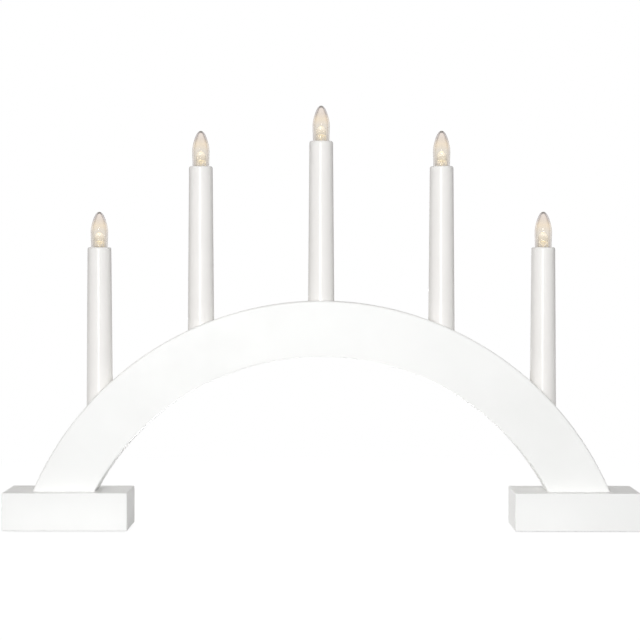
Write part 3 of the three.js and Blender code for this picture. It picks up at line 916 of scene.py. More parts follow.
@dataclass(frozen=True)
class LedResin(Finish):
    """Clear cast resin of a light-emitting diode, brightest at its lens."""

    tint: Colour = (1.0, 0.96, 0.88)
    shine: Colour = (0.3, 0.3, 0.3)
    lens: Colour = (1.0, 0.99, 0.94)
    faint: float = 0.12  # share of the lens's light in the resin's lower parts
    half: float = 0.6  # share of it under the lens
    glow_heights: Heights = (0.0, 0.34, 0.55, 0.70, 0.80, 0.90)
    strength: float = 0.29
    gloss: Pair = (0.22, 0.32)
    haze: Clouds = Clouds(600, 2)
    ripple: Relief = Relief(Clouds(500, 1), 1.0e-5)
    ior: float = 1.53

    def make(self) -> Material:
        """Builds the resin.

        Returns:
            The material.
        """
        recipe = Recipe("led_resin")
        faint, half = faded(self.lens, self.faint), faded(self.lens, self.half)
        glows = (BLACK, faint, BLACK, faint, half, self.lens)
        return recipe.finish(
            Base_Color=opaque(self.tint), Transmission_Weight=1.0, IOR=self.ior,
            Normal=recipe.relief((self.ripple,)), Specular_Tint=opaque(self.shine),
            Roughness=recipe.drift(self.haze, self.gloss), Emission_Strength=self.strength,
            Emission_Color=recipe.blend(recipe.rise(), self.glow_heights, glows))


@dataclass(frozen=True)
class DiodeGlow(Finish):
    """A glowing part of the diode, mottled between two colours. The chip gives its own light; on the
    bowl and the leads the glow is painted light of the chip.

    Attributes:
        name: Name of the material.
        heart: Brighter colour.
        rim: Deeper colour.
        strength: Strength of its own light.
        mottle: Clouds of the two colours.
        stops: Where in those clouds the deeper and the brighter colour are reached.
        roughness: Its roughness.
    """

    name: str
    heart: Colour
    rim: Colour
    strength: float
    mottle: Clouds = Clouds(3000, 2)
    stops: Pair = (0.35, 0.6)
    roughness: float = 0.6

    def make(self) -> Material:
        """Builds the finish of the lit part.

        Returns:
            The material.
        """
        recipe = Recipe(self.name)
        colour = recipe.blend(recipe.noise(self.mottle), self.stops, (self.rim, self.heart))
        made = recipe.finish(Base_Color=colour, Roughness=self.roughness, Emission_Color=colour,
                             Emission_Strength=self.strength)
        made.cycles.emission_sampling = "NONE"
        return made


@dataclass(frozen=True)
class Felt(Finish):
    """Pressed grey-white felt: a mat of fibres in many directions."""

    light: Colour = (0.72, 0.71, 0.68)
    dim: Colour = (0.50, 0.49, 0.46)
    stops: Pair = (0.38, 0.66)
    gloss: Pair = (0.98, 0.88)
    lengthwise: Clouds = Clouds(1400, 4, (1, 0.25, 1), 0.7)
    crosswise: Clouds = Clouds(1400, 4, (0.25, 1, 1), 0.7)
    fibre_depth: float = 1.5e-4
    sheen: float = 0.25
    sheen_roughness: float = 0.5

    def make(self) -> Material:
        """Builds the felt.

        Returns:
            The material.
        """
        recipe = Recipe("pressed_felt")
        fibres = recipe.number("MAXIMUM", recipe.noise(self.lengthwise), recipe.noise(self.crosswise))
        return recipe.finish(
            Base_Color=recipe.blend(fibres, self.stops, (self.dim, self.light)),
            Roughness=recipe.mapped(fibres, NOISE_RANGE, self.gloss),
            Normal=recipe.bump(fibres, self.fibre_depth),
            Sheen_Weight=self.sheen, Sheen_Roughness=self.sheen_roughness)


PAINT = SatinPaint()
SLEEVE = SleevePlastic()
CLEAR = ClearPlastic()
RESIN = LedResin()
CHIP = DiodeGlow("led_phosphor", (1.0, 0.90, 0.56), (1.0, 0.82, 0.40), 1.4)
# Painted glow: the chip's light on the reflector bowl and the leads, given to them as their own light.
PAINTED_DIODE_GLOW = DiodeGlow("painted_glow_led_bowl", (0.95, 0.89, 0.76), (0.90, 0.82, 0.66), 0.65)
NICKEL = PlatedMetal("nickel_plate", (0.72, 0.70, 0.66), (0.58, 0.56, 0.52))
BRASS = PlatedMetal("turned_brass", (0.83, 0.62, 0.28), (0.66, 0.46, 0.19))
SPRING = PlatedMetal("spring_wire", (0.58, 0.58, 0.58), (0.42, 0.42, 0.43), (0.25, 0.4))
ZINC = FrostedMetal("zinc_plate", (0.66, 0.67, 0.70), (0.50, 0.51, 0.54), (0.3, 0.48))
TIN = FrostedMetal("solder_tin", (0.62, 0.62, 0.62), (0.45, 0.45, 0.46), (0.3, 0.5))
HOLDER = MattePlastic("holder_plastic", (0.84, 0.83, 0.79), (0.78, 0.77, 0.73))
POST = MattePlastic("lamp_post_plastic", (0.80, 0.79, 0.74), (0.74, 0.73, 0.68), (0.4, 0.5))
GLAZE = MattePlastic("cap_insulator", (0.045, 0.04, 0.04), (0.02, 0.02, 0.02), (0.2, 0.35))
SHEATH = MattePlastic("wire_sheath", (0.85, 0.84, 0.81), (0.79, 0.78, 0.75), (0.4, 0.55))
FELT = Felt()


def dressed(name: str, surface: Mesh | Shell, finish: Finish) -> bpy.types.Object:
    """Makes a surface an object of the scene, with its finish.

    Args:
        name: Name of the object.
        surface: Its mesh, or the shell to make it from.
        finish: Its finish.

    Returns:
        The object.
    """
    mesh = surface.mesh(name) if isinstance(surface, Shell) else surface
    mesh.materials.append(finish.material)
    piece = bpy.data.objects.new(name, mesh)
    bpy.context.scene.collection.objects.link(piece)
    LOG.info("%s: %d faces", name, len(mesh.polygons))
    return piece


def put(name: str, surface: Mesh | Shell, finish: Finish, body: str, node: str = "") -> None:
    """Makes a surface a piece of the object, dressed and fixed to its body.

    Args:
        name: Name of the piece.
        surface: Its mesh, or the shell to make it from.
        finish: Its finish.
        body: Body of the frame that it moves with.
        node: Node of the frame that it stands for, if there is one.
    """
    piece = dressed(name, surface, finish)
    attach(piece, body)
    if node:
        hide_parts(node)


@dataclass(frozen=True)
class CandlePlace:
    """Where one candle stands.

    Attributes:
        number: Number of the candle, from the left.
        x: Its axis.
        top: Height of its sleeve's top.
        seat: Height of its sleeve's foot.
    """

    number: int
    x: float
    top: float
    seat: float

    @classmethod
    def of(cls, number: int) -> "CandlePlace":
        """Reads a candle's place from the frame."""
        low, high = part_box(f"candle_sleeve_{number}")
        return cls(number, (low.x + high.x) / 2, high.z, low.z)

    def above(self, height: float = 0.0) -> Triple:
        """The point on the axis at a height above the sleeve's top."""
        return self.x, 0.0, self.top + height


CANDLES = tuple(CandlePlace.of(n) for n in range(1, 6))


@dataclass(frozen=True)
class FootScrew:
    """A countersunk wood screw, upside down, its head's face at height 0 and its point upwards."""

    radius: float = 0.002
    root: float = 0.00135
    length: float = 0.045
    tip: float = 0.004
    head_radius: float = 0.004
    head_height: float = 0.0024
    head_rim: float = 0.0004
    pitch: float = 0.0018
    sharpness: float = 2.5
    plain: float = 0.012  # unthreaded length under the head
    recess_length: float = 0.0044
    recess_width: float = 0.001
    recess_depth: float = 0.0016
    recess_taper: float = 0.42  # share of its width that the recess loses on the way down
    clearance: float = 0.00025
    rows_a_turn: int = 10

    def shell(self) -> Shell:
        """The screw before its recess: radius r = root + (crest - root) wave along the threaded length.

        Returns:
            The closed screw.
        """
        head = eased(((0, 0, 0), (self.head_radius, 0, SMALL), (self.head_radius, self.head_rim, FINE),
                      (self.radius, self.head_height, FULL), (self.radius, self.plain, 0)), False)
        turns = (self.length - self.plain) / self.pitch
        height = np.linspace(self.plain, self.length, int(turns * self.rows_a_turn))[1:]
        taper = np.clip((self.length - height) / self.tip, 0, 1)
        run_in = np.clip((height - self.plain) / self.pitch, 0, 1)
        wave = thread_wave(height, SMALL_SIDES, self.pitch, self.sharpness)
        root = self.radius + (self.root - self.radius) * run_in
        radius = (root[:, None] + (self.radius - root)[:, None] * wave) * taper[:, None]
        return threaded((head.T, (radius, height)), SMALL_SIDES)

    def recess(self) -> Shell:
        """The cross recess: a cross-shaped outline drawn in with depth, linearly.

        Returns:
            The closed form to cut away, from as far outside the face as the recess is deep.
        """
        a, b = self.recess_length / 2, self.recess_width / 2
        cross = np.array(((a, b), (b, b), (b, a), (-b, a), (-b, b), (-a, b),
                          (-a, -b), (-b, -b), (-b, -a), (b, -a), (b, -b), (a, -b)))
        depth = np.array((-self.recess_depth, 0.0, self.recess_depth))
        scale = 1 - self.recess_taper * depth / self.recess_depth
        points = np.concatenate((cross[None] * scale[:, None, None],
                                 np.broadcast_to(depth[:, None, None], (3, len(cross), 1))), axis=2)
        return grid_shell(points, capped=True)

    def hole(self, below: float) -> Shell:
        """The screw's hole, a clearance wider than the screw.

        Args:
            below: Length by which the hole goes on past the head's face.

        Returns:
            The closed form to cut away.
        """
        head, shank = self.head_radius + self.clearance, self.radius + self.clearance
        end = self.length + self.clearance
        return lathe(((0, -below, 0), (head, -below, 0), (head, self.head_rim, 0),
                      (shank, self.head_height, 0), (shank, end, 0), (0, end, 0)), SMALL_SIDES)


@dataclass(frozen=True)
class Foot:
    """A block foot with its two screws and two felt strips."""

    side: Side
    edge: float = 0.0007
    felt_edge: float = 0.00035
    screw: FootScrew = FootScrew()

    @property
    def node(self) -> str:
        """The name of the foot's node."""
        return f"foot_{self.side.name.lower()}"

    def part(self, kind: str, end: End) -> str:
        """The name of the node of a screw or strip at one end."""
        return f"{kind}_{self.side.name.lower()}_{end.name.lower()}"

    def screw_places(self) -> dict[End, Vector]:
        """Where each screw's head has its face, from the frame.

        Returns:
            The middle of the face at each end of the foot.
        """
        boxes = {end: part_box(self.part("foot_screw", end)) for end in End}
        return {end: Vector(((low.x + high.x) / 2, (low.y + high.y) / 2, low.z))
                for end, (low, high) in boxes.items()}

    def holes(self) -> list[Shell]:
        """The two screws' holes, where they go through the foot and into the arch."""
        return [self.screw.hole(at.z + self.screw.length).moved(*at) for at in self.screw_places().values()]

    def build(self) -> None:
        """Builds the block, the screws and the strips."""
        block = carved(self.node, block_in(self.node, self.edge), self.holes())
        put(f"block_{self.node}", block, PAINT, STAND, self.node)
        for end, at in self.screw_places().items():
            node = self.part("foot_screw", end)
            screw = carved(node, self.screw.shell().moved(*at), [self.screw.recess().moved(*at)])
            put(f"wood_{node}", screw, ZINC, STAND, node)
        for end in End:
            node = self.part("felt_strip", end)
            put(f"pressed_{node}", block_in(node, self.felt_edge), FELT, STAND, node)


@dataclass(frozen=True)
class Arch:
    """The arch board with its candle sockets, wiring groove, groove cover and cord bush."""

    outer_radius: float = 0.224
    inner_radius: float = 0.184
    centre_z: float = -0.060
    foot_top: float = 0.028
    depth: float = 0.030
    edge: float = 0.0012
    top_edge: float = 0.0016
    steps: int = 132
    socket_radius: float = 0.009815
    socket_floor: float = 0.0003  # below the sleeve's foot
    socket_top: float = 0.1  # above the sleeve's foot, clear of the board
    bore_radius: float = 0.0035
    groove_width: float = 0.008
    groove_depth: float = 0.007
    rebate_width: float = 0.0126
    rebate_depth: float = 0.0016
    cover_width: float = 0.012
    cover_thickness: float = 0.0013
    cover_edge: float = 0.0004
    gap: float = 0.0003
    bush_radius: float = 0.0042
    bush_hole: float = 0.0030
    bush_flange: float = 0.0060
    bush_flange_thickness: float = 0.0015
    bush_length: float = 0.010
    bush_bore: float = 0.00445
    overrun: float = 0.006  # of the groove, past its first bore and past the bush

    def at(self, radius: float, angle: float) -> np.ndarray:
        """The point of the arch's middle plane at a radius and an angle from the crown."""
        return np.array((radius * math.sin(angle), 0.0, self.centre_z + radius * math.cos(angle)))

    def angle_of(self, x: float, z: float) -> float:
        """The angle of a point from the crown."""
        return math.atan2(x, z - self.centre_z)

    def swept(self, section: np.ndarray, start: np.ndarray | float, end: np.ndarray | float) -> Shell:
        """A section of radius and depth carried round the arch's centre.

        Point (i, j) is the section's point j at angle start_j + (end_j - start_j) i / steps from the crown.

        Args:
            section: Closed outline of radius and y.
            start: First angle, of the whole section or of each of its points.
            end: Last angle, in the same way.

        Returns:
            The closed surface.
        """
        radius, y = section.T
        share = np.linspace(0, 1, self.steps + 1)[:, None]
        angle = (start + (end - start) * share) * np.ones(len(section))
        points = np.stack((radius * np.sin(angle), np.broadcast_to(y, angle.shape),
                           self.centre_z + radius * np.cos(angle)), axis=-1)
        return grid_shell(points, capped=True)

    @staticmethod
    def section(inner: float, outer: float, width: float, edges: Pair = (0.0, 0.0)) -> np.ndarray:
        """A rectangle of radius and y with eased corners.

        Args:
            inner: Inner radius.
            outer: Outer radius.
            width: Width along y.
            edges: Easing of the inner and of the outer corners.

        Returns:
            Points of the closed outline.
        """
        half = width / 2
        return eased(((inner, -half, edges[0]), (outer, -half, edges[1]),
                      (outer, half, edges[1]), (inner, half, edges[0])), True)

    def blank(self) -> Shell:
        """The board before its cuts: each radius r runs to +-acos(drop / r), so both legs end level.

        Returns:
            The closed board.
        """
        section = self.section(self.inner_radius, self.outer_radius, self.depth, (self.edge, self.top_edge))
        reach = np.arccos((self.foot_top - self.centre_z) / section[:, 0])
        return self.swept(section, -reach, reach)

    def bush_place(self) -> Vector:
        """The middle of the bush's flange, from the frame."""
        low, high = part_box("cord_grommet")
        return Vector(((low.x + high.x) / 2, self.depth / 2, (low.z + high.z) / 2))

    def groove_ends(self) -> Pair:
        """The first and last angle of the groove.

        Returns:
            The angles, from the crown.
        """
        first, bush = CANDLES[0], self.bush_place()
        past = self.overrun / self.inner_radius
        return self.angle_of(first.x, first.seat) - past, self.angle_of(bush.x, bush.z) + past

    def cuts(self) -> list[Shell]:
        """Everything that is cut out of the board, apart from the screws' holes.

        Returns:
            Each candle's socket and bore, the groove, the cover's rebate and the bush's bore.
        """
        tools = []
        roof, below = self.inner_radius + self.groove_depth, self.inner_radius - self.groove_depth
        rebate = self.inner_radius + self.rebate_depth
        socket = lathe(((0, -self.socket_floor, 0), (self.socket_radius, -self.socket_floor, 0),
                        (self.socket_radius, self.socket_top, 0), (0, self.socket_top, 0)), ROUND_SIDES)
        for candle in CANDLES:
            angle = self.angle_of(candle.x, candle.seat)
            past_seat = math.hypot(candle.x, candle.seat - self.centre_z) + 2 * self.bore_radius
            tools.append(socket.moved(candle.x, 0, candle.seat))
            tools.append(rod(self.at(roof - self.gap, angle), self.at(past_seat, angle), self.bore_radius))
        ends = self.groove_ends()
        for top, width in ((roof, self.groove_width), (rebate, self.rebate_width)):
            tools.append(self.swept(self.section(below, top, width), *ends))
        bush = np.array(self.bush_place())
        tools.append(rod(bush + (0, self.depth, 0), bush * (1, 0, 1) - (0, self.groove_width / 2, 0),
                         self.bush_bore))
        return tools

    def cover(self) -> Shell:
        """The groove's cover: an eased strip in the rebate, a gap short of the groove's ends.

        Returns:
            The closed strip.
        """
        margin = self.gap / self.inner_radius
        start, end = self.groove_ends()
        top = self.inner_radius + self.cover_thickness
        section = self.section(self.inner_radius, top, self.cover_width, (self.cover_edge, self.cover_edge))
        return self.swept(section, start + margin, end - margin)

    def bush(self) -> Shell:
        """The bush: a rounded sleeve with a flange, turned and laid back so that the flange is behind.

        Returns:
            The closed bush.
        """
        flange = self.gap + self.bush_flange_thickness
        outline = ((self.bush_radius, -self.bush_length, SOFT), (self.bush_radius, self.gap, HAIR),
                   (self.bush_flange, self.gap, SMALL), (self.bush_flange, flange, FULL),
                   (self.bush_hole, flange, BLUNT), (self.bush_hole, -self.bush_length, SOFT))
        return lathe(outline, ROUND_SIDES, True).laid_back().moved(*self.bush_place())

    def build(self, feet: Sequence[Foot]) -> None:
        """Builds the board, the cover and the bush.

        Args:
            feet: The feet, whose screws go into the legs.
        """
        holes = [hole for foot in feet for hole in foot.holes()]
        board = carved("arch_board", self.blank(), [*self.cuts(), *holes])
        put("painted_arch_board", board, PAINT, STAND, "arch_board")
        put("plastic_groove_cover", self.cover(), HOLDER, STAND, "groove_cover")
        put("plastic_cord_grommet", self.bush(), HOLDER, STAND, "cord_grommet")


@dataclass(frozen=True)
class Thread:
    """The screw thread that a lamp's cap and its holder share. Heights are from the sleeve's top."""

    radius: float = 0.004765
    depth: float = 0.0005
    pitch: float = 0.001814
    top: float = -0.0051
    bottom: float = -0.0125
    clearance: float = 0.00035
    rows_a_turn: int = 14

    @property
    def root(self) -> float:
        """Radius at the thread's root."""
        return self.radius - self.depth

    def rows(self, low: float, high: float) -> np.ndarray:
        """Heights of the rows between two heights."""
        return np.linspace(low, high, int((high - low) / self.pitch * self.rows_a_turn) + 1)

    def rise(self, heights: np.ndarray) -> np.ndarray:
        """How far the thread stands above its root, depth x wave, at each row and side."""
        return self.depth * thread_wave(heights, ROUND_SIDES, self.pitch)


@dataclass(frozen=True)
class Candle:
    """A candle's sleeve with its lamp holder and threaded shell. Heights are from the sleeve's top."""

    place: CandlePlace
    thread: Thread = Thread()
    top_radius: float = 0.008515
    foot_radius: float = 0.009565
    wall: float = 0.0012
    lip: float = 0.002
    top_edge: float = 0.0019
    mouth_radius: float = 0.0063
    bead_height: float = 0.0012
    bead_radius: float = 0.006415
    holder_radius: float = 0.007015
    holder_top: float = -0.0023
    holder_bottom: float = -0.0269
    shell_radius: float = 0.005615
    shell_bore: float = 0.005865
    shell_top: float = -0.0054
    shell_bottom: float = -0.0135
    shell_seat: float = -0.0138
    shell_edge: float = 0.0001
    chamber_radius: float = 0.00275
    chamber_floor: float = -0.0206
    stem_radius: float = 0.00145
    terminal_offset: float = 0.004
    terminal_depth: float = 0.004
    terminal_radius: float = 0.00125
    gap: float = 0.0003

    def outside(self, height: float) -> float:
        """Radius of the sleeve's outside at a height."""
        share = height / (self.place.top - self.place.seat)
        return self.top_radius - share * (self.foot_radius - self.top_radius)

    def sleeve(self) -> Shell:
        """The sleeve: a tapered tube with a rounded top, the lamp's mouth and a bead under the holder.

        Returns:
            The closed sleeve.
        """
        foot = self.place.seat - self.place.top
        bead_top = self.holder_bottom - self.gap
        bead_wall = self.outside(bead_top) - self.wall
        outline = (
            (self.outside(foot) - self.wall, foot, SMALL), (self.outside(foot), foot, SOFT),
            (self.top_radius, 0, self.top_edge), (self.mouth_radius, 0, ROUND),
            (self.mouth_radius, -self.lip, SMALL), (self.outside(-self.lip) - self.wall, -self.lip, FINE),
            (bead_wall, bead_top, HAIR), (self.bead_radius, bead_top, FINE),
            (self.bead_radius, bead_top - self.bead_height, SOFT),
            (bead_wall, bead_top - 2 * self.bead_height, SMALL))
        return lathe(outline, ROUND_SIDES, True)

    def holder(self) -> Mesh:
        """The lamp holder: a stepped tube with a floor, bored for the contact's stem and two wires.

        Returns:
            The bored holder, in its place.
        """
        outline = (
            (self.stem_radius, self.holder_bottom, SMALL), (self.holder_radius, self.holder_bottom, ROUND),
            (self.holder_radius, self.holder_top, SMALL), (self.mouth_radius, self.holder_top, FINE),
            (self.mouth_radius, self.thread.top, FINE), (self.shell_bore, self.thread.top, HAIR),
            (self.shell_bore, self.shell_seat, FINE), (self.chamber_radius, self.shell_seat, SMALL),
            (self.chamber_radius, self.chamber_floor, FINE), (self.stem_radius, self.chamber_floor, FINE))
        low, high = self.holder_bottom - self.gap, self.holder_bottom + self.terminal_depth
        bores = [rod(np.array((x, 0, low)), np.array((x, 0, high)), self.terminal_radius)
                 for x in (-self.terminal_offset, self.terminal_offset)]
        at = self.place.above()
        body = lathe(outline, ROUND_SIDES, True).moved(*at)
        return carved(f"lamp_holder_{self.place.number}", body, [bore.moved(*at) for bore in bores])

    def shell(self) -> Shell:
        """The threaded shell: smooth outside, and inside the cap's thread grown by its clearance.

        Returns:
            The closed shell.
        """
        radius, edge = self.shell_radius, self.shell_edge
        outside = np.array(((radius - edge, self.shell_bottom), (radius, self.shell_bottom + edge),
                            (radius, self.shell_top - edge), (radius - edge, self.shell_top)))
        rows = self.thread.rows(self.shell_bottom, self.shell_top)[::-1]
        inside = self.thread.root + self.thread.clearance + self.thread.rise(rows)
        return threaded((outside.T, (inside, rows)), ROUND_SIDES, True)

    def build(self) -> None:
        """Builds the sleeve, the holder and the shell."""
        n, at = self.place.number, self.place.above()
        for look, node, surface, finish, slot in (
            ("gloss", f"candle_sleeve_{n}", self.sleeve().moved(*at), SLEEVE, Slot.SLEEVE),
            ("moulded", f"lamp_holder_{n}", self.holder(), HOLDER, Slot.HOLDER),
            ("brass", f"thread_shell_{n}", self.shell().moved(*at), BRASS, Slot.BRASS),
        ):
            put(f"{look}_{node}", surface, finish, STAND, node)


@dataclass(frozen=True)
class Contact:
    """The sprung contact under a lamp: a pin and its coil spring. Heights are from the sleeve's top."""

    place: CandlePlace
    head_radius: float = 0.0025
    head_height: float = 0.001
    top: float = -0.0148
    stem_radius: float = 0.0012
    stem_length: float = 0.010
    spring_top: float = -0.0161
    spring_height: float = 0.0042
    spring_radius: float = 0.00175
    wire_radius: float = 0.00025
    turns: float = 4.0
    steps_a_turn: int = 24
    wire_sides: int = 10

    def pin(self) -> Shell:
        """The pin: a round stem under a flat head with an eased rim.

        Returns:
            The closed pin.
        """
        shoulder = self.top - self.head_height
        end = shoulder - self.stem_length
        return lathe(((0, end, 0), (self.stem_radius, end, SMALL), (self.stem_radius, shoulder, HAIR),
                      (self.head_radius, shoulder, FINE), (self.head_radius, self.top, ROUND),
                      (0, self.top, 0)), SMALL_SIDES)

    def spring(self) -> Shell:
        """The spring: a wire along p = (R cos t, R sin t, z), where z rises evenly with t.

        Returns:
            The closed wire.
        """
        share = np.linspace(0, 1, int(self.turns * self.steps_a_turn) + 1)
        turn = share * self.turns * 2 * np.pi
        rise = self.spring_height - 2 * self.wire_radius
        z = self.spring_top - self.spring_height + self.wire_radius + rise * share
        path = np.stack((self.spring_radius * np.cos(turn), self.spring_radius * np.sin(turn), z), axis=1)
        return tube(path, self.wire_radius, self.wire_sides)

    def build(self) -> None:
        """Builds the pin and the spring."""
        n, at = self.place.number, self.place.above()
        body = f"contact_{n}"
        put(f"brass_contact_pin_{n}", self.pin().moved(*at), BRASS, body, f"contact_pin_{n}")
        coil = dressed(f"coil_contact_spring_{n}", self.spring().moved(*at), SPRING)
        self.place.above(self.spring_top - self.spring_height)
        self.place.above(self.spring_top)
        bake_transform(coil)
        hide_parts(f"contact_spring_{n}")


@dataclass(frozen=True)
class Lamp:
    """A screw-in lamp: clear envelope, light-emitting diode on a post, and cap.

    Heights are from the sleeve's top.
    """

    place: CandlePlace
    thread: Thread = Thread()
    height: float = 0.0255
    radius: float = 0.0062
    widest: float = 0.0113
    neck_radius: float = 0.00595
    neck_depth: float = 0.004
    wall: float = 0.0011
    tip_radius: float = 0.0019
    fullness: float = 0.30
    nose_slope: float = 0.11
    curve_steps: int = 20
    led_radius: float = 0.0036
    led_top: float = 0.0108
    led_seat: float = -0.0008
    led_flange: float = 0.004
    led_flange_height: float = 0.001
    ball_steps: int = 20
    post_radius: float = 0.0033
    cup_low: float = 0.0022
    cup_rim: float = 0.0042
    cup_radius: float = 0.0017
    cup_floor_radius: float = 0.0009
    cup_wall: float = 0.0002
    cup_floor: float = 0.0006  # thickness of the bowl's floor
    chip_face: float = 0.6  # share of the chip's radius inside its rounded rim
    chip_shoulder: float = 0.0002  # of the rounded rim, above the bowl's
    chip_crown: float = 0.0003  # of the chip's middle, above the bowl's rim
    lead_size: float = 0.0007
    lead_edge: float = 0.00014
    lead_offset: float = 0.00065  # from the bowl to the middle of the lead beside it
    cap_top: float = -0.0043
    collar_radius: float = 0.005
    cap_core: float = 0.003765
    cap_skirt: float = 0.0002  # plain length under the thread
    cap_waist: float = -0.0135
    cap_bottom: float = -0.0145
    insulator_lip: float = 0.0003  # past the button
    insulator_step: float = 0.0002  # inside the cap's core
    button_radius: float = 0.0022
    button_face: float = 0.9  # share of the button's radius at its face
    seam: float = 0.00002  # keeps touching faces of two pieces apart

    def wall_line(self, inset: float) -> np.ndarray:
        """The envelope's outline from neck to tip, drawn in by an inset.

        Two cubic curves meet at the widest height, and a quadratic one rounds the tip.

        Args:
            inset: How far the line lies inside the outer one.

        Returns:
            Points of radius and height.
        """
        neck, wide, tip = self.neck_radius - inset, self.radius - inset, self.height - inset
        nose = max(self.tip_radius - inset / 2, inset / 2)
        shoulder = tip - nose / 2
        rise = shoulder - self.widest
        low = ((neck, 0), (neck, self.widest / 3), (wide, self.widest * 2 / 3), (wide, self.widest))
        high = ((wide, self.widest), (wide, self.widest + rise * self.fullness),
                (nose * 2, shoulder - rise * self.nose_slope), (nose, shoulder))
        end = ((nose, shoulder), (nose / 2, tip), (0.0, tip))
        first, *others = (curve(pulls, self.curve_steps) for pulls in (low, high, end))
        return np.concatenate((first, *(other[1:] for other in others)))

    def envelope(self) -> Shell:
        """The envelope: its outer line up to the tip and its inner line back down, turned and closed.

        Returns:
            The closed envelope, with its height marks.
        """
        outside, inside = self.wall_line(0.0), self.wall_line(self.wall)[::-1]
        low = np.array(((self.neck_radius, -self.neck_depth),))
        profile = np.concatenate((low, outside, inside, low - ((self.wall, 0),)))
        marks = np.clip(profile[:, 1] / self.height, 0, 1)
        return turned(*profile.T, ROUND_SIDES, True, marks)

    def resin(self) -> Shell:
        """The diode's body: a flanged round bar that ends in half a ball.

        Returns:
            The closed body, with its height marks.
        """
        centre, flange_top = self.led_top - self.led_radius, self.led_seat + self.led_flange_height
        bar = eased(((0, self.led_seat, 0), (self.led_flange, self.led_seat, FINE),
                     (self.led_flange, flange_top, FINE), (self.led_radius, flange_top, HAIR),
                     (self.led_radius, centre, 0)), False)
        lift = np.linspace(0, np.pi / 2, self.ball_steps)[1:]
        ball = np.stack((self.led_radius * np.cos(lift), centre + self.led_radius * np.sin(lift)), axis=1)
        ball[-1, 0] = 0.0
        profile = np.concatenate((bar, ball))
        marks = (profile[:, 1] - self.led_seat) / (self.led_top - self.led_seat)
        return turned(*profile.T, ROUND_SIDES, marks=marks)

    def post(self) -> Shell:
        """The post that carries the diode: a plain round stem with eased edges.

        Returns:
            The closed post.
        """
        low, top = self.seam - self.neck_depth, self.led_seat - self.seam
        return lathe(((0, low, 0), (self.post_radius, low, SOFT), (self.post_radius, top, SMALL),
                      (0, top, 0)), ROUND_SIDES)

    def cup(self) -> Shell:
        """The diode's reflector: a small bowl on the end of its lead.

        Returns:
            The closed bowl.
        """
        floor = self.cup_low + self.cup_floor
        return lathe(((0, self.cup_low, 0), (self.cup_floor_radius + self.cup_wall, self.cup_low, HAIR),
                      (self.cup_radius, self.cup_rim, HAIR),
                      (self.cup_radius - self.cup_wall, self.cup_rim, HAIR),
                      (self.cup_floor_radius, floor, FINE), (0, floor, 0)), SMALL_SIDES)

    def chip(self) -> Shell:
        """The lit chip: a drop that fills the bowl and rises a little above its rim.

        Returns:
            The closed drop.
        """
        floor = self.cup_low + self.cup_floor + self.seam
        inner = self.cup_radius - self.cup_wall - self.seam
        return lathe(((0, floor, 0), (self.cup_floor_radius - self.seam, floor, HAIR),
                      (inner, self.cup_rim - self.seam, FINE),
                      (inner * self.chip_face, self.cup_rim + self.chip_shoulder, SOFT),
                      (0, self.cup_rim + self.chip_crown, 0)), SMALL_SIDES)

    def lead(self, x: float, top: float) -> Shell:
        """One of the diode's leads: a square bar with eased edges, up from the diode's seat.

        Args:
            x: Its place beside the lamp's axis.
            top: Its upper end.

        Returns:
            The closed bar.
        """
        low = self.led_seat + self.lead_size / 2
        bar = rounded_block((self.lead_size, self.lead_size, top - low), self.lead_edge)
        return bar.moved(x, 0, (top + low) / 2)

    def cap(self) -> Shell:
        """The cap: its thread's wave fades out half a turn before the collar and before the lower end.

        Returns:
            The closed cap.
        """
        t = self.thread
        rows = t.rows(t.bottom, t.top)
        fade = np.clip(np.minimum(rows - t.bottom, t.top - rows) / (t.pitch / 2), 0, 1)[:, None]
        collar = eased(((t.root, t.top, 0), (self.collar_radius, t.top, FINE),
                        (self.collar_radius, self.cap_top, SMALL), (0, self.cap_top, 0)), False)[1:]
        skirt = t.bottom - self.cap_skirt
        foot = np.array(((0.0, skirt), (self.cap_core, skirt)))
        return threaded((foot.T, (t.root + t.rise(rows) * fade, rows), collar.T), ROUND_SIDES)

    def insulator(self) -> Shell:
        """The cap's insulator: a blunt cone between the thread and the button.

        Returns:
            The closed cone.
        """
        top, low = self.thread.bottom - self.cap_skirt - self.seam, self.cap_waist
        return lathe(((0, low, 0), (self.button_radius + self.insulator_lip, low, HAIR),
                      (self.cap_core - self.insulator_step, top, FINE), (0, top, 0)), SMALL_SIDES)

    def button(self) -> Shell:
        """The cap's solder button: a drop with a flat face.

        Returns:
            The closed button.
        """
        face, top = self.button_radius * self.button_face, self.cap_waist - self.seam
        return lathe(((0, self.cap_bottom, 0), (face, self.cap_bottom, BLUNT),
                      (self.button_radius, top, HAIR), (0, top, 0)), SMALL_SIDES)

    def build(self) -> None:
        """Builds the lamp's pieces on their own body."""
        n, at = self.place.number, self.place.above()
        middle_lead = self.lead(0.0, self.cup_low - self.seam)
        side_lead = self.lead(self.cup_radius + self.lead_offset, self.cup_rim)
        for name, shell, finish, slot, node in (
            ("clear_bulb_envelope", self.envelope(), CLEAR, Slot.CLEAR, f"bulb_envelope_{n}"),
            ("resin_bulb_led", self.resin(), RESIN, Slot.RESIN, f"bulb_led_{n}"),
            ("led_reflector", self.cup(), PAINTED_DIODE_GLOW, Slot.NICKEL, ""),
            ("led_chip", self.chip(), CHIP, Slot.RESIN, ""),
            ("led_lead_middle", middle_lead, PAINTED_DIODE_GLOW, Slot.NICKEL, ""),
            ("led_lead_side", side_lead, PAINTED_DIODE_GLOW, Slot.NICKEL, ""),
            ("led_post", self.post(), POST, Slot.HOLDER, ""),
            ("nickel_bulb_cap", self.cap(), NICKEL, Slot.NICKEL, f"bulb_cap_{n}"),
            ("cap_insulator", self.insulator(), GLAZE, Slot.HOLDER, ""),
            ("cap_button", self.button(), TIN, Slot.NICKEL, ""),
        ):
            put(f"{name}_{n}", shell.moved(*at), finish, f"bulb_{n}", node)


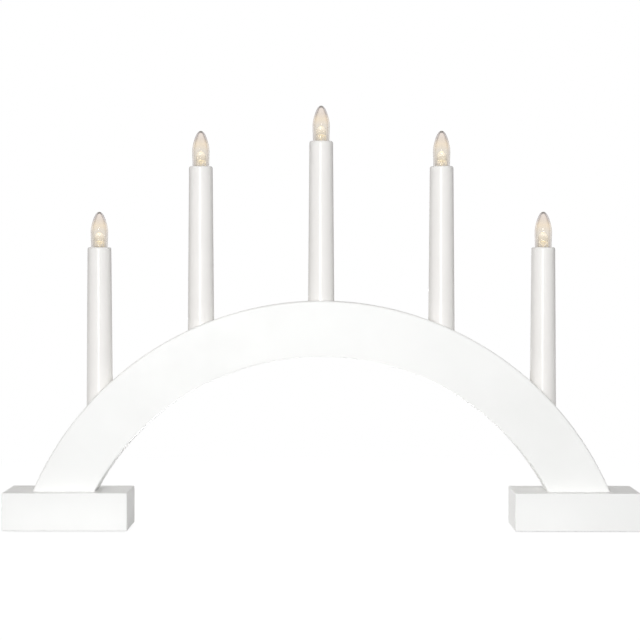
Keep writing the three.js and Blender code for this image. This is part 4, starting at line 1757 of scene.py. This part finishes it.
@dataclass(frozen=True)
class Wiring:
    """The wires inside the sleeves and the groove, which keep the frame's own shapes."""

    names: tuple[str, ...] = ("link_wire_1_2", "link_wire_2_3", "link_wire_3_4", "link_wire_4_5",
                              "live_lead", "return_lead")

    def dress(self) -> None:
        """Gives each wire its sheath's finish."""
        for name in self.names:
            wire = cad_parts[name].data
            wire.materials.clear()
            wire.materials.append(SHEATH.material)
            LOG.info("%s: dressed", name)


@dataclass(frozen=True)
class Softbox:
    """An area light.

    Attributes:
        name: Its name.
        place: Where its middle is.
        aim: The point that it faces.
        width: Its width.
        height: Its height.
        power: Its power in watts.
        colour: Its colour.
        spread: The angle of its beam.
        mirrored: Whether polished and clear pieces show it.
    """

    name: str
    place: Triple
    aim: Triple
    width: float
    height: float
    power: float
    colour: Colour = WHITE
    spread: float = math.pi
    mirrored: bool = False

    def build(self) -> None:
        """Puts the light up, out of the camera's own sight."""
        light = bpy.data.lights.new(self.name, "AREA")
        light.shape, light.size, light.size_y = "RECTANGLE", self.width, self.height
        light.energy, light.color, light.spread = self.power, self.colour, self.spread
        lamp = bpy.data.objects.new(self.name, light)
        lamp.location = self.place
        lamp.rotation_euler = (Vector(self.aim) - Vector(self.place)).to_track_quat("-Z", "Y").to_euler()
        lamp.visible_camera = False
        lamp.visible_glossy = lamp.visible_transmission = self.mirrored
        bpy.context.scene.collection.objects.link(lamp)


@dataclass(frozen=True)
class Studio:
    """A pale floor, a white backdrop, soft light and the camera."""

    SENSOR_MM: ClassVar[float] = 36.0
    IMAGE_PIXELS: ClassVar[float] = 640.0
    CARD: ClassVar[float] = math.radians(24)  # beam of the low lights at the feet's fronts
    BEAM: ClassVar[float] = math.radians(32)  # beam of the lights at the legs' inner faces

    camera_place: Triple = (0.007938, -1.310303, 0.177009)
    camera_down: float = 0.0205
    camera_turn: float = 0.0067
    focal_pixels: float = 1821.7
    ambient: float = 0.38
    ambient_tint: Colour = (1.0, 0.975, 0.945)
    slant: float = 0.19  # how much lighter the left is than the middle
    surround: float = 0.40  # what polished pieces see beside the backdrop
    overcast: float = 0.25  # what clear pieces see straight up and down
    overcast_sines: Pair = (0.15, 0.70)  # the slopes of view where the overcast starts and where it is full
    backdrop_cosines: Pair = (0.88, 0.985)
    floor_size: float = 9.0
    floor_drop: float = 0.0002
    floor_albedo: float = 0.48
    floor_shade: float = 0.22  # share of the floor's real light that the camera sees near the object
    floor_white: float = 0.90
    shade_reach: Pair = (0.28, 0.55)
    shade_stretch: Triple = (0.8, 1, 1)
    softboxes: tuple[Softbox, ...] = (
        Softbox("key", (-0.25, -2.10, 0.52), (0.0, 0.0, 0.16), 0.34, 1.00, 13.5, COOL, mirrored=True),
        Softbox("fill", (-0.09, -0.90, 0.17), (-0.02, 0.0, 0.08), 0.90, 0.30, 1.88, COOL),
        Softbox("right_fill", (0.60, -1.95, 0.40), (0.05, 0.0, 0.15), 0.60, 0.60, 7.0, COOL),
        Softbox("left_card", (-0.18, -0.15, 0.008), (-0.18, 0.0, 0.006), 0.09, 0.012, 0.0006, spread=CARD),
        Softbox("right_card", (0.14, -0.15, 0.008), (0.155, 0.0, 0.006), 0.06, 0.012, 0.00025, spread=CARD),
        Softbox("overhead", (0.0, 0.1, 1.9), (0.0, 0.0, 0.1), 1.6, 1.6, 1.8, WARM),
        Softbox("rear", (-0.7, 1.9, 0.2), (0.0, 0.0, 0.1), 0.9, 0.3, 19.5),
        Softbox("under_arch", (0.02, 0.0, 0.055), (-0.07, 0.0, 0.30), 0.05, 0.12, 0.055),
        Softbox("left_leg_beam", (0.05, 0.0, 0.02), (-0.14, 0.0, 0.100), 0.03, 0.03, 0.012, spread=BEAM),
        Softbox("right_leg_beam", (-0.05, 0.0, 0.02), (0.14, 0.0, 0.104), 0.03, 0.03, 0.007, spread=BEAM),
        Softbox("inner_card", (0.02, 0.0, 0.012), (1.0, 0.0, 0.012), 0.05, 0.016, 0.0070),
    )

    def camera(self) -> None:
        """Sets the camera where the picture was taken from."""
        data = bpy.data.cameras.new("camera")
        data.sensor_width = self.SENSOR_MM
        data.lens = self.focal_pixels / self.IMAGE_PIXELS * self.SENSOR_MM
        eye = bpy.data.objects.new("camera", data)
        eye.location = self.camera_place
        eye.rotation_euler = (math.pi / 2 - self.camera_down, 0.0, self.camera_turn)
        bpy.context.scene.collection.objects.link(eye)
        bpy.context.scene.camera = eye

    def floor(self) -> None:
        """Lays the floor: white to the camera, and greyer where the object shades it."""
        half = self.floor_size / 2
        corners = [(x * half, y * half, -self.floor_drop) for x, y in ((-1, -1), (1, -1), (1, 1), (-1, 1))]
        mesh = bpy.data.meshes.new("studio_floor")
        mesh.from_pydata(corners, [], [(0, 1, 2, 3)])
        mesh.materials.append(self.floor_finish())
        plane = bpy.data.objects.new("studio_floor", mesh)
        bpy.context.scene.collection.objects.link(plane)

    def floor_finish(self) -> Material:
        """The floor's finish: plain grey to the light, near white round the object and white far off.

        Returns:
            The material.
        """
        recipe = Recipe("studio_floor")
        recipe.tree.nodes.remove(recipe.shader)
        grey, shaded = (recipe.node("BsdfDiffuse", opaque(faded(WHITE, tone))).outputs[0]
                        for tone in (self.floor_albedo, self.floor_shade))
        near, far = (recipe.node("Emission", opaque(WHITE), strength).outputs[0]
                     for strength in (self.floor_white, 1.0))
        round_object = recipe.node("AddShader", shaded, near).outputs[0]
        reach = recipe.node("VectorMath", recipe.place(self.shade_stretch), operation="LENGTH")
        away = recipe.mapped(reach.outputs["Value"], self.shade_reach, (0.0, 1.0), SMOOTH)
        seen = recipe.node("MixShader", away, round_object, far).outputs[0]
        rays = recipe.node("LightPath").outputs
        straight = recipe.number("MAXIMUM", rays["Is Camera Ray"], rays["Is Glossy Ray"])
        looking = recipe.number("MAXIMUM", straight, rays["Is Transmission Ray"])
        whole = recipe.node("MixShader", looking, grey, seen).outputs[0]
        recipe.fill(recipe.tree.nodes["Material Output"], Surface=whole)
        return recipe.material

    def backdrop(self) -> None:
        """Sets the world.

        It is white to the camera and level through clear pieces, a white field behind the object to
        polished pieces, and soft grey light for the rest.
        """
        world = bpy.data.worlds.new("backdrop")
        bpy.context.scene.world = world
        world.use_nodes = True
        graph = Graph(world.node_tree)
        rays = graph.node("LightPath").outputs
        aim = graph.node("SeparateXYZ", graph.node("TexCoord").outputs["Generated"]).outputs
        steep = graph.number("ABSOLUTE", aim["Z"])
        behind = graph.mapped(aim["Y"], self.backdrop_cosines, (self.surround, 1.0), SMOOTH)
        around = graph.mapped(steep, self.overcast_sines, (1.0, self.overcast), SMOOTH)
        soft = graph.mapped(aim["X"], (-1.0, 1.0), (self.ambient + self.slant, self.ambient - self.slant))
        polished = graph.mixed(Mixing.NUMBERS, rays["Is Glossy Ray"], soft, behind)
        clear = graph.mixed(Mixing.NUMBERS, rays["Is Transmission Ray"], polished, around)
        strength = graph.mixed(Mixing.NUMBERS, rays["Is Camera Ray"], clear, 1.0)
        tints = opaque(WHITE), opaque(self.ambient_tint)
        tint = graph.mixed(Mixing.COLOURS, rays["Is Diffuse Ray"], *tints)
        graph.fill(graph.tree.nodes["Background"], Strength=strength, Color=tint)

    def build(self) -> None:
        """Sets up the whole studio."""
        self.camera()
        self.floor()
        self.backdrop()
        for softbox in self.softboxes:
            softbox.build()
        bpy.context.scene.view_settings.view_transform = "Standard"


def main() -> None:
    """Builds the studio and the object, in order."""
    logging.basicConfig(level=logging.INFO, format="%(name)s: %(message)s")
    Studio().build()
    feet = [Foot(side) for side in Side]
    for foot in feet:
        foot.build()
    Arch().build(feet)
    for place in CANDLES:
        Candle(place).build()
        Contact(place).build()
        Lamp(place).build()
    Wiring().dress()


if __name__ == "__main__":
    main()
